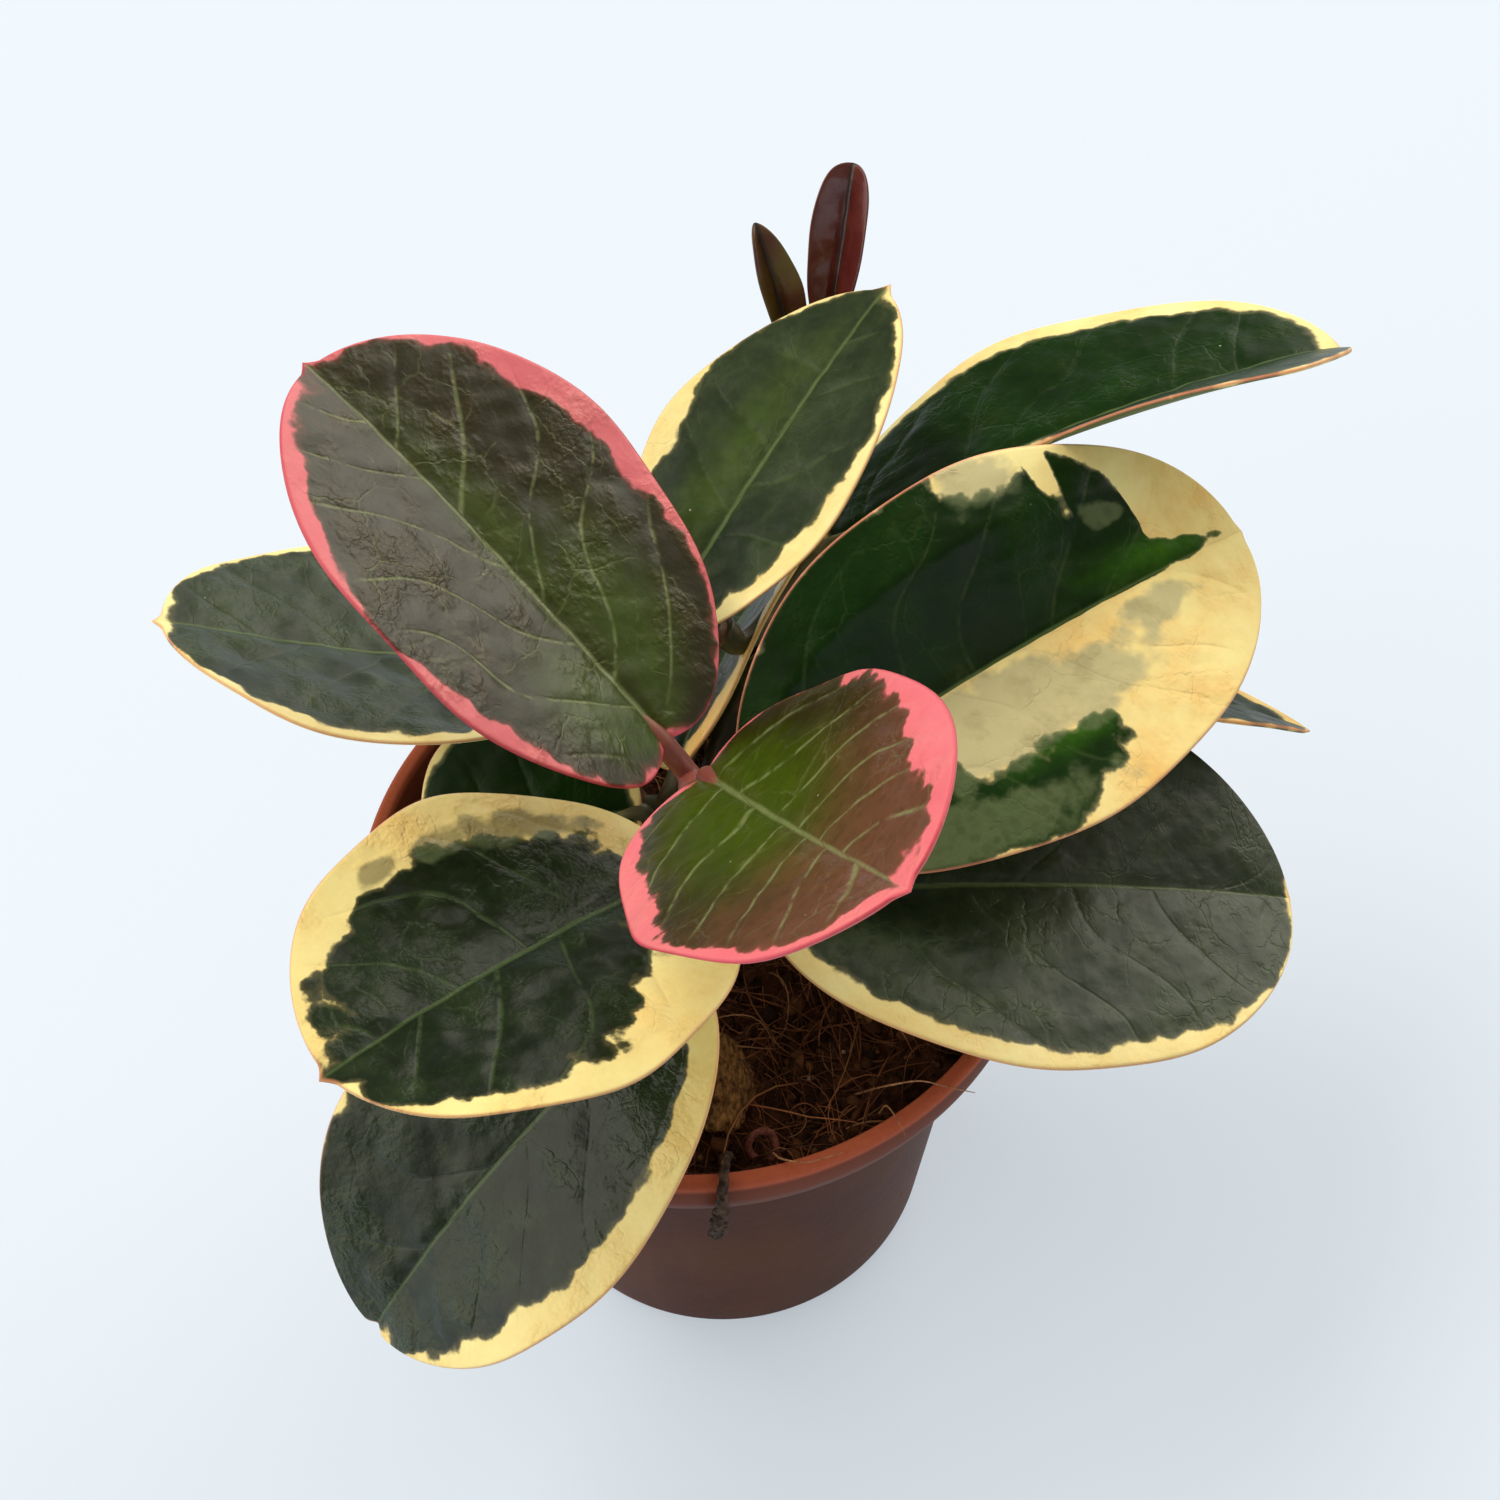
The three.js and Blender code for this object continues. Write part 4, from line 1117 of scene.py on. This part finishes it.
def leaf_finish(name, colours, seed, ragged=1.0, net=0.5, gloss=0.3, spots=0.5, mottle=0.2,
                ribs=0.5, shine=0.2, crumple=0.12, blush=0.0):
    leaf = Finish(name, coat_roughness=0.2, specular_ior_level=shine)
    along, across, under = leaf.stored("blade")
    green, wash, glow = leaf.stored("zones")
    vein, to_rim, gap = leaf.stored("lines")
    spot = leaf.place(along, across, seed * 37.0)
    drift = leaf.noise(spot, 4.5, 3)
    fray = leaf.noise(spot, 1.1, 3)
    clouds = leaf.noise(spot, 9, 4, 0.6)
    fine = leaf.noise(spot, 0.7, 3, 0.6)
    lobes = leaf.cells(spot, 3.4)
    # how far noise moves the borders, which lobes and frays them
    worn = ((drift - 0.5) * 5.0 + (fray - 0.5) * 1.4 + (0.45 - lobes) * 3.0) * ragged
    is_green = leaf.smooth(green + worn, -0.2, 0.26)
    grey_and_sheen_mask = leaf.smooth(wash + worn * 1.3, -0.6, 1.2)
    is_glow = leaf.smooth(glow + (drift - 0.5) * 0.9, -0.8, 1.1) * 0.6
    midrib, side_vein, mesh = vein_masks(
        leaf, spot, (along, across), (vein, to_rim, gap), (drift, fray, clouds)
    )
    pale_dot, dark_dot = dot_masks(leaf, spot)
    # the border: cream or pink, warmer in clouds, greyish where it is washed, partly painted sheen
    margin = leaf.blend(leaf.smooth(clouds, 0.25, 0.85), colours["pale"], colours["warm"])
    margin = leaf.blend(fine * 0.18, margin, colours["wash"])
    washed = leaf.smooth(drift + clouds, 1.0, 1.3) * 0.22
    washed = leaf.blend(washed, colours["wash"], colours["core"])
    border = leaf.blend(grey_and_sheen_mask * 0.9, margin, washed)
    # the green: clouds of three tones, a glow, dimples and a greyer step by the border
    core = leaf.blend(leaf.smooth(clouds, 0.3, 0.72), colours["deep"], colours["core"])
    core = leaf.blend(leaf.smooth(drift, 0.5, 0.8) * 0.6, core, colours["flush"])
    core = leaf.blend(is_glow, core, colours["bright"])
    # the wash patches dull the green to grey: partly a real grey layer, partly painted sheen
    core = leaf.blend(grey_and_sheen_mask * 0.75, core, colours["dull"])
    reddened = leaf.smooth(along + across * 0.5 + drift * 12, 30, 56) * blush
    core = leaf.blend(reddened, core, paint(112, 68, 48))
    dimples = leaf.smooth(leaf.cells(spot, 1.5), 0.15, 0.55)
    core = leaf.blend((1 - dimples) * mottle, core, colours["deep"])
    core = leaf.blend(leaf.smooth(fine, 0.45, 0.75) * 0.22, core, colours["flush"])
    near = leaf.smooth(green + worn, 0.1, 0.8)
    core = leaf.blend((1 - near) * 0.22, core, colours["wash"])
    lines = leaf.greater(leaf.greater(midrib * 0.9, side_vein * ribs), mesh * (0.55 * net))
    core = leaf.blend(lines * (0.35 + fray * 0.4), core, colours["vein"])
    # both faces, the thin rim and the dots
    colour = leaf.blend(is_green, border, core)
    thin = (1 - leaf.smooth(to_rim, 0.0, 0.42)) * 0.75
    colour = leaf.blend(thin, colour, colours["rim"])
    below = leaf.blend(is_green, border, colours["below"])
    below = leaf.blend(lines * 0.5, below, colours["vein"])
    colour = leaf.blend(under, colour, below)
    colour = leaf.blend(pale_dot * spots, colour, paint(214, 214, 196))
    colour = leaf.blend(dark_dot * 0.5, colour, paint(70, 44, 26))
    # wrinkles, and sharper creases where a second noise passes its middle value
    wrinkles = leaf.noise(spot, 2.2, 4, 0.6)
    folds = leaf.noise(leaf.place(along, across * 0.7, seed * 5.0), 3.4, 3, 0.55)
    patchy = leaf.smooth(clouds, 0.45, 0.65)
    creases = (1 - leaf.smooth(abs(folds - 0.5), 0.0, 0.035)) * patchy
    height = wrinkles * (crumple * (0.5 + patchy * 2)) + fine * 0.03 - mesh * 0.06
    height = height - side_vein * 0.07 + pale_dot * 0.05
    height = height - creases * 0.06 + dimples * (mottle * 0.04)
    height = height * (1 - under * 0.6) - midrib * 0.06
    rough = gloss + wrinkles * 0.16 + under * 0.25 + (1 - is_green) * 0.06
    coat = 0.1 - under * 0.09
    return leaf.feed(
        base_color=colour, roughness=rough, coat_weight=coat, normal=leaf.bump(height)
    )


def stalk_finish(name, young, plain):
    stalk = Finish(name, coat_weight=0.2, coat_roughness=0.3, specular_ior_level=0.45)
    along, around, share = stalk.stored("rod")
    spot = stalk.millimetres()
    blots = stalk.noise(spot, 2.4, 3)
    streaks = stalk.noise(stalk.place(along * 0.3, around * 1.4, 0), 1.0, 3)
    colour = stalk.blend(blots, young, plain)
    greener = stalk.smooth(share + (blots - 0.5) * 0.3, 0.45, 0.8)
    colour = stalk.blend(greener, colour, paint(126, 128, 74))
    colour = stalk.blend(stalk.smooth(streaks, 0.5, 0.8) * 0.5, colour, paint(176, 104, 92))
    rough = 0.42 + blots * 0.15
    return stalk.feed(base_color=colour, roughness=rough, normal=stalk.bump(streaks * 0.06))


stalk_paint = stalk_finish("stalk_skin", paint(134, 58, 58), paint(112, 66, 44))
# a darker copy of the stalk finish: painted shade on the rear stem's leaf stalks
shaded_stalk_paint = stalk_finish("shaded_stalk_skin", paint(66, 50, 30), paint(58, 66, 34))
print("leaf finishes ready")

# %% [markdown]
# ## The twelve leaves
# Each leaf has its own heading, size, margin and patches. The margin is given in
# millimetres at even steps from base to tip, on the left and on the right of the
# midrib as seen from the base. Patches are ovals: place along, place across (-1 to
# 1), and their reach both ways.

# %% Leaf table
LEAVES = {
    "leaf_young_left": {
        "stem": FRONT_STEM, "node": "top", "stalk": [-3, 5, 4],
        "heading": 140, "rise": 40, "droop": 11, "roll": 13,
        "length": 53, "width": 43, "fold": 12, "shoulder": 0.52, "point": 0.53,
        "left": [0, 0.5, 2.4, 2.2, 0.3, 0.2, 1.8, 2.6, 0.1],
        "right": [0, 0.2, 1.0, 2.2, 3.0, 3.5, 3.0, 1.1, 0.2],
        "glows": [(0.2, -0.3, 0.26, 0.32), (0.45, -0.1, 0.35, 0.14), (0.1, 0.3, 0.2, 0.4)],
        "lean": 0.85, "vein_gap": 10.5, "lobe": 11, "beak": 0.9,
        "look": {
            "colours": YOUNG, "net": 0.7, "ragged": 0.5, "ribs": 0.8, "crumple": 0.2,
            "shine": 0.42,
        },
    },
    "leaf_young_front": {
        "stem": FRONT_STEM, "node": "top", "stalk": [1, -1, 6],
        "heading": -68, "rise": 41, "droop": -4, "roll": 23,
        "length": 60, "width": 35, "fold": 9, "shoulder": 0.46, "point": 0.49,
        "left": [0.1, 0.1, 0.2, 0.7, 2.0, 3.8, 4.0, 3.2, 1.2],
        "right": [0.3, 1.6, 2.8, 3.0, 2.4, 1.0, 0.8, 1.1, 0.9],
        "glows": [(0.25, -0.05, 0.5, 0.6)],
        "lean": 0.75, "vein_gap": 8.5, "lobe": 3, "beak": 1.4,
        "look": {"colours": YOUNG, "net": 0.4, "ragged": 0.7, "ribs": 0.9, "blush": 0.75},
    },
    "leaf_right_upper": {
        "stem": FRONT_STEM, "node": "middle", "stalk": [3, 5, 0],
        "heading": 30, "rise": 13, "droop": 21, "roll": 22,
        "length": 67, "width": 44, "fold": 12, "shoulder": 0.54, "point": 0.56,
        "left": [-1, -1, -1, -1, -1, -1, -1, -1, -1, -0.6, 0.3, 1.2, 2, 4, 28, 28, 28],
        "right": [30, 30, 30, 30, 30, 30, 30, 30, 30],
        "adds": [
            (0.82, 0.1, 0.16, 0.12), (0.1, -0.5, 0.22, 0.7), (0.32, -0.76, 0.2, 0.25),
            (0.47, -0.66, 0.12, 0.17),
        ],
        "cuts": [(0.705, 1.0, 0.02, 0.36), (0.6, 1.0, 0.07, 0.22)],
        # the wash patches right of the midrib (across below 0) paint this leaf's sheen
        "grey_and_sheen_patches": [
            (0.36, -0.28, 0.3, 0.28), (0.58, -0.36, 0.16, 0.2), (0.78, -0.2, 0.08, 0.14),
            (0.6, 0.88, 0.09, 0.16), (0.76, 0.5, 0.05, 0.09), (0.2, -0.8, 0.3, 0.2),
        ],
        "glows": [(0.84, 0.14, 0.12, 0.1), (0.52, -0.52, 0.12, 0.08)],
        "lean": 0.75, "vein_gap": 11, "lobe": 4, "beak": 0.5, "raise_left": 0.035,
        "look": {"colours": CREAMY, "net": 0.2, "ragged": 0.7, "ribs": 0.2, "shine": 0.08},
    },
    "leaf_left_middle": {
        "stem": FRONT_STEM, "node": "middle", "stalk": [-6, -2, 1],
        "heading": 222, "rise": 27, "droop": 15, "roll": -2,
        "length": 49, "width": 40.5, "fold": 9, "shoulder": 0.52, "point": 0.51,
        "left": [3, 5, 7.5, 7, 4.6, 3.4, 2.6, 1.6, 0.2],
        "right": [3, 4.4, 5.4, 5.8, 5, 4.6, 4.4, 3.2, 0.3],
        "grey_and_sheen_patches": [
            (0.3, -0.7, 0.17, 0.13), (0.47, -0.73, 0.08, 0.1), (0.63, -0.8, 0.06, 0.08),
            (0.18, 0.5, 0.12, 0.15),
        ],
        "lean": 0.75, "vein_gap": 11, "lobe": 4, "beak": 1.0, "pucker": 0.16,
        "look": {
            "colours": GLOSSY, "net": 0.5, "ragged": 0.8, "gloss": 0.22,
            "crumple": 0.2, "shine": 0.2,
        },
    },
    "leaf_right_lower": {
        "stem": FRONT_STEM, "node": "low", "stalk": [4, 4, 0],
        "heading": 5, "rise": -7, "droop": 17, "roll": 9,
        "length": 65, "width": 47, "fold": 8, "shoulder": 0.57, "point": 0.56,
        "left": [-1, -2, -2, -2, -2, -2, -2, -1, 0.2],
        "right": [2, 2.8, 2.7, 2.5, 1.8, 2.6, 1.8, 1.0, 0.4],
        "lean": 0.5, "vein_gap": 12, "lobe": 4, "beak": 0.3,
        "look": {
            "colours": GREYED, "net": 0.15, "ragged": 0.5, "spots": 0.7,
            "mottle": 0.6, "ribs": 0.06, "shine": 0.3, "crumple": 0.05,
        },
    },
    "leaf_front_low": {
        "stem": FRONT_STEM, "node": "low", "stalk": [-4, -8, 6],
        "heading": 212, "rise": -23, "droop": 28, "roll": -12,
        "length": 57, "width": 38.5, "fold": 11, "shoulder": 0.55, "point": 0.57,
        "left": [3, 3.6, 3.8, 3.8, 3.6, 3.4, 3.2, 2.4, 0.2],
        "right": [2, 2, 1.8, 1.4, 1.0, 0.5, 0, -1, -1],
        "lean": 0.5, "vein_gap": 11, "lobe": 4, "beak": -0.9, "pucker": 0.16,
        "look": {
            "colours": GLOSSY, "net": 0.2, "ragged": 0.6, "gloss": 0.2, "ribs": 0.06,
            "crumple": 0.26, "shine": 0.35,
        },
    },
    "leaf_back_middle": {
        "stem": BACK_STEM, "node": "top", "stalk": [-6, -1, 2],
        "heading": 50, "rise": 29, "droop": 15, "roll": -13,
        "length": 46.5, "width": 29, "fold": 10, "shoulder": 0.52, "point": 0.67,
        "left": [0.3, 0.4, 0.8, 2.8, 2.6, 0.4, 0.1, 0.1, 0.2],
        "right": [1.6, 2.2, 2.8, 2.5, 1.8, 1.0, 0.7, 0.7, 0.4],
        "glows": [(0.45, 0.25, 0.3, 0.2)],
        "lean": 0.7, "vein_gap": 9, "beak": 1.2,
        "look": {"colours": GREYED, "net": 0.2, "ragged": 0.5, "ribs": 0.22},
    },
    "leaf_back_right": {
        "stem": BACK_STEM, "node": "top", "stalk": [12, 3, 9],
        "heading": 10, "rise": 29, "droop": 28, "roll": -31,
        "length": 61, "width": 41, "fold": 16, "shoulder": 0.51, "point": 0.47,
        "left": [1, 1, 1.4, 2.0, 2.4, 2.8, 2.8, 2.4, 1.0],
        "right": [0.2, 0.2, 0.1, 0, -0.5, -0.5, 0, 0.1, 0.2],
        "lean": 0.5, "vein_gap": 11, "beak": 0.0,
        "look": {"colours": CREAMY, "net": 0.1, "ragged": 0.4, "ribs": 0.08, "shine": 0.08},
        "slim": 0.08, "set_back": 0.05,
    },
    "leaf_left_back": {
        "stem": BACK_STEM, "node": "middle", "stalk": [-3, 5, 4],
        "heading": 183, "rise": 14, "droop": -13, "roll": 20,
        "length": 49, "width": 41, "fold": 5, "shoulder": 0.55, "point": 0.54,
        "left": [2.4, 2.4, 2.2, 1.8, 1.6, 1.4, 1.1, 0.9, 0.3],
        "right": [2, 2, 2, 2.2, 1.8, 1.4, 1.1, 0.8, 0.3],
        "lean": 0.5, "vein_gap": 10, "beak": 1.0,
        "look": {"colours": GREYED, "net": 0.15, "ragged": 0.5, "ribs": 0.12, "shine": 0.25},
    },
    "leaf_right_hidden": {
        "stem": BACK_STEM, "node": "collar", "stalk": [13, 16, 15],
        "heading": -4, "rise": 0, "droop": 27, "roll": -36,
        "length": 68, "width": 25.5, "fold": 7, "shoulder": 0.52, "point": 0.6,
        "left": [1.4, 1.6, 1.6, 1.8, 2.4, 3.4, 3.6, 2.8, 1.2],
        "right": [0.3, 0.3, 0.3, 0.2, 0.2, 0.2, 0.2, 0.2, 0.2],
        "lean": 0.6, "vein_gap": 11, "beak": 0.8,
        "look": {"colours": MATURE, "net": 0.1, "ragged": 0.3, "ribs": 0.1, "shine": 0.05},
    },
    "leaf_back_inner": {
        "stem": BACK_STEM, "node": "low", "stalk": [5, 2, 5],
        "heading": 65, "rise": 12, "droop": 20, "roll": -49,
        "length": 47, "width": 30, "fold": 13, "shoulder": 0.52, "point": 0.6,
        "left": [0.4, 0.4, 0.3, 0.3, 0.4, 0.5, 0.6, 0.5, 0.3],
        "right": [2, 2.6, 3.2, 3.2, 3, 2.6, 2, 1.4, 0.5],
        "lean": 0.6, "vein_gap": 10, "beak": 0.8,
        "look": {"colours": MATURE, "net": 0.2, "ragged": 0.5},
    },
    "leaf_left_inner": {
        "stem": BACK_STEM, "node": "low", "stalk": [1, -3, 4],
        "heading": 181, "rise": 8, "droop": 35, "roll": -31,
        "length": 26, "width": 28, "fold": 13, "shoulder": 0.52, "point": 0.57,
        "left": [0.8, 0.8, 0.9, 0.9, 1.0, 0.9, 0.8, 0.7, 0.3],
        "right": [0.8, 0.8, 0.9, 0.9, 0.9, 0.8, 0.8, 0.7, 0.3],
        "lean": 0.5, "vein_gap": 8, "beak": 0.5,
        "look": {"colours": CREAMY, "net": 0.1, "ragged": 0.35, "ribs": 0.1, "shine": 0.08},
    },
}

# %% [markdown]
# The table is now worked through in order, so each leaf's place in it seeds its own
# veins, waves and clouds. Blade and stalk are one piece with two finishes, because
# they grow as one and the CAD model has them as one node.

# %% Make the leaves
for seed, (name, leaf) in enumerate(LEAVES.items(), 1):
    leaf["seed"] = seed
    node = np.array(leaf["stem"][leaf["node"]], float)
    leaf["base"] = node + leaf["stalk"]
    places, stored = blade_rings(leaf)
    blade_paint = leaf_finish(name + "_skin", seed=seed, **leaf["look"])
    slot_name = "leaf_young" if "young" in name else "leaf_green"
    skins = [skin(places, 0, **stored), stalk_skin(leaf)]
    # leaves on the rear stem take the darker stalk copy, as painted shade
    foot_paint = shaded_stalk_paint if leaf["stem"] is BACK_STEM else stalk_paint
    make_piece(name + "_blade", skins, [blade_paint, foot_paint], [name])

# %% [markdown]
# ## The young shoot
# Two leaflets at the end of the rear stem are still folded shut like a book. They
# use the same leaf surface with a steep fold, and a glossy dark red finish.

# %% Shoot leaflets
def leaflet_finish(name, outside, inside, seed):
    leaflet = Finish(name, coat_weight=0.5, coat_roughness=0.12, specular_ior_level=0.5)
    along, across, under = leaflet.stored("blade")
    spot = leaflet.place(along, across, seed * 11.0)
    clouds = leaflet.noise(spot, 5, 4)
    fine = leaflet.noise(spot, 0.6, 3)
    colour = leaflet.blend(leaflet.smooth(clouds, 0.3, 0.75), outside, inside)
    colour = leaflet.blend(fine * 0.25, colour, paint(34, 12, 14))
    # painted shade: the crease along the middle of the leaflet's inner face is painted almost black
    crease_shade = 1 - leaflet.smooth(abs(across), 0.1, 0.6)
    colour = leaflet.blend(crease_shade * (1 - under) * 0.8, colour, paint(20, 8, 8))
    height = clouds * 0.15 + fine * 0.04
    rough = 0.24 + fine * 0.12
    return leaflet.feed(base_color=colour, roughness=rough, normal=leaflet.bump(height))


PLAIN = {"left": [0, 0], "right": [0, 0], "lean": 0.6}
LEAFLETS = {
    "shoot_leaf_right": {
        "step": [2, 1, 1], "heading": 66, "rise": 60, "droop": -6, "roll": 0,
        "length": 22, "width": 9, "fold": 42, "shoulder": 0.55, "point": 0.3,
        "tones": (paint(84, 22, 20), paint(108, 44, 30)),
    },
    "shoot_leaf_left": {
        "step": [-1.8, 0.8, 0.8], "heading": 118, "rise": 62, "droop": 4, "roll": 0,
        "length": 16, "width": 7, "fold": 42, "shoulder": 0.5, "point": 0.6,
        "tones": (paint(84, 34, 26), paint(96, 84, 26)),
    },
}
for seed, (name, leaf) in enumerate(LEAFLETS.items(), 20):
    leaf.update(PLAIN, wave=0.1, pucker=0.04, vein_gap=4, seed=seed)
    leaf["base"] = SHOOT_TIP + leaf["step"]
    places, stored = blade_rings(leaf, thickness=0.9, edge=0.45, rows=90, across=50)
    inside = blade_frame(leaf, np.array([0.12]))[0][0]
    foot = smooth_path([SHOOT_TIP - [0, 0.5, 0.6], leaf["base"], inside], 8)
    neck = rod(foot, np.linspace(1.0, 0.5, len(foot)), 14, slot=1)
    finishes = [leaflet_finish(name + "_skin", *leaf["tones"], seed), stalk_paint]
    make_piece(name + "_blade", [skin(places, 0, **stored), neck], finishes, [name])

# %% [markdown]
# ## Lump, husk and roots
# A tan nugget of peat lies at the front of the mix, with a curled root beside it. A
# dead root hangs over the rim, crusted with dark mix, and loose fibres cross the lip.

# %% Peat lump and husk
def from_rim(inset, direction):
    turn = math.radians(direction)
    return np.array([math.cos(turn), math.sin(turn)]) * (RIM_RADIUS - inset)


def lump_rings():
    """A stretched ball, its radius uneven in big and small blots."""
    x, y = from_rim(14, -87)
    t = np.linspace(0.02, math.pi - 0.02, 60)[:, None]
    turn = np.linspace(0, 2 * math.pi, 90, endpoint=False)
    ball = np.stack([np.sin(t) * np.cos(turn), np.sin(t) * np.sin(turn), np.cos(t) + 0 * turn], -1)
    size = np.array([3.6, 6, 3])
    rough = 0.97 + 0.05 * ripple(ball * size, 4, 71) + 0.05 * ripple(ball * size, 1.3, 72)
    rough += 0.025 * ripple(ball * size, 0.6, 73)
    return ball * size * rough[..., None] + [x, y, soil_height(x, y) + 0.8]


def lump_finish():
    lump = Finish("peat_nugget", specular_ior_level=0.2)
    spot = lump.millimetres()
    x, y, z = lump.parts(spot)
    strands = lump.noise(lump.place(x, y * 0.3, z), 0.5, 5, 0.7)
    blots = lump.noise(spot, 3, 3)
    colour = lump.blend(lump.smooth(strands, 0.3, 0.7), paint(62, 38, 22), paint(176, 126, 76))
    colour = lump.blend(lump.smooth(blots, 0.5, 0.7) * 0.6, colour, paint(78, 48, 28))
    colour = lump.blend(lump.smooth(strands, 0.68, 0.78), colour, paint(206, 170, 118))
    return lump.feed(base_color=colour, roughness=0.9, normal=lump.bump(strands * 0.5))


lump_paint = lump_finish()
make_piece("peat_nugget", [skin(lump_rings())], [lump_paint], ["peat_lump"])

husk_foot = from_rim(15.2, -43) + [-0.5, -2.4]
husk_leaf = {
    "heading": 80, "rise": 70, "droop": 10, "roll": 0, "length": 6, "width": 2.6, "fold": 25,
    "shoulder": 0.5, "point": 0.5, "left": [0, 0], "right": [0, 0], "lean": 0.5,
    "vein_gap": 1.5, "wave": 0.25, "pucker": 0.05, "seed": 24,
    "base": np.array([*husk_foot, soil_height(*husk_foot) + 0.6]),
}
husk_places, husk_stored = blade_rings(husk_leaf, thickness=0.5, edge=0.4, rows=40, across=24)
make_piece("husk_scale", [skin(husk_places, 0, **husk_stored)], [lump_paint], ["husk"])

# %% [markdown]
# Roots that dried in the air are stiff rods like the stems, only thinner and rougher.
# Their routes repeat the CAD model's points over the lip, so they keep clear of it.

# %% Roots over the rim
def root_finish(name, dark, pale, grain):
    root = Finish(name, specular_ior_level=0.3)
    along, around, _ = root.stored("rod")
    spot = root.millimetres()
    crust = root.noise(spot, grain, 5, 0.7)
    rings = root.noise(root.place(along * 2, around * 0.3, 0), 1.0, 3)
    colour = root.blend(root.smooth(crust, 0.35, 0.7), dark, pale)
    colour = root.blend(root.smooth(rings, 0.55, 0.75) * 0.4, colour, dark)
    height = crust * 0.3 + rings * 0.1
    return root.feed(base_color=colour, roughness=0.75, normal=root.bump(height))


curl_x, curl_y = from_rim(6, -81)
CURL_RADIUS = 1.5
CURL_THICK = 0.45
curl_turn = np.radians(150) * np.linspace(-1, 1, 60)
curl_ground = max(soil_height(curl_x + step, curl_y) for step in (-CURL_RADIUS, CURL_RADIUS))
curl_lift = curl_ground + 0.3 + CURL_THICK + 0.5 * CURL_RADIUS
curl_path = np.stack([
    curl_x + CURL_RADIUS * np.sin(curl_turn),
    curl_y + 0.12 * np.sin(2 * curl_turn) + 1.1 * np.cos(curl_turn),
    curl_lift + 0.9 * CURL_RADIUS * np.cos(curl_turn),
], -1)
curl_paint = root_finish("curled_root_skin", paint(96, 50, 44), paint(150, 88, 76), 0.9)
curl_skin = rod(curl_path, CURL_THICK * 0.95, 18, rough=0.08, size=1.2)
make_piece("curled_root_ring", [curl_skin], [curl_paint], ["curled_root"])


def over_the_rim(points):
    """Points by inset from the rim, direction and height over the rim."""
    return [np.array(over_rim(*from_rim(inset, turn), height)) for inset, turn, height in points]


def on_soil(inset, direction, radius):
    x, y = from_rim(inset, direction)
    return np.array([x, y, soil_height(x, y) + 0.3 + radius])


ROOT_THICK = 0.9
ROOT_DROP = 11
clear = 0.3 + ROOT_THICK
root_points = [on_soil(5.7, -87, ROOT_THICK), *over_the_rim([
    [3.9, -87.5, clear - 1.9], [2.5, -88, clear - 0.3], [0.7, -88.4, clear + 0.3],
    [-clear, -88.9, clear - 0.9], [-clear - 0.4, -89.2, -2.5],
    [-clear - 0.3, -89.9, -0.6 * ROOT_DROP], [0.6 - clear, -90.7, -ROOT_DROP],
])]
root_path = smooth_path(root_points, 16)
root_share = np.linspace(0, 1, len(root_path))
root_radius = np.interp(root_share, [0, 0.4, 0.62, 0.75, 0.95, 1], [0.5, 0.5, 0.6, 0.85, 0.85, 0.3])
root_paint = root_finish("crusted_root", paint(26, 17, 12), paint(96, 70, 50), 0.7)
root_skin = rod(root_path, root_radius, 26, rough=0.22, size=1.0, seed=8)
make_piece("dead_root", [root_skin], [root_paint], ["hanging_root"])

FIBRE_RADIUS = 0.25
lip = 0.3 + FIBRE_RADIUS
FIBRES = {
    "fibre_arched": [on_soil(8.2, -60, FIBRE_RADIUS), *over_the_rim([
        [4.6, -56.5, 0.5], [2.2, -52.5, 2], [0.1, -49.4, lip + 0.2], [-2.4, -47, lip - 0.2],
    ])],
    "fibre_rim_front": over_the_rim([
        [4.4, -79.5, -3], [2, -78.6, lip - 0.5], [0.7, -75.3, lip], [0.3, -69.4, lip],
    ]),
    "fibre_rim_right": over_the_rim([
        [4.3, -58.8, -4], [2.5, -59.1, lip + 0.2],
        [0.5, -59.3, lip + 0.3], [-1.3, -59.5, lip - 0.6],
    ]),
}
pale_fibre = root_finish("pale_fibre", paint(136, 88, 58), paint(208, 158, 116), 1.5)
for name, points in FIBRES.items():
    path = smooth_path(points, 14)
    thin = np.linspace(0.13, 0.05, len(path))
    make_piece(name + "_strand", [rod(path, thin, 10, rough=0.1)], [pale_fibre], [name])
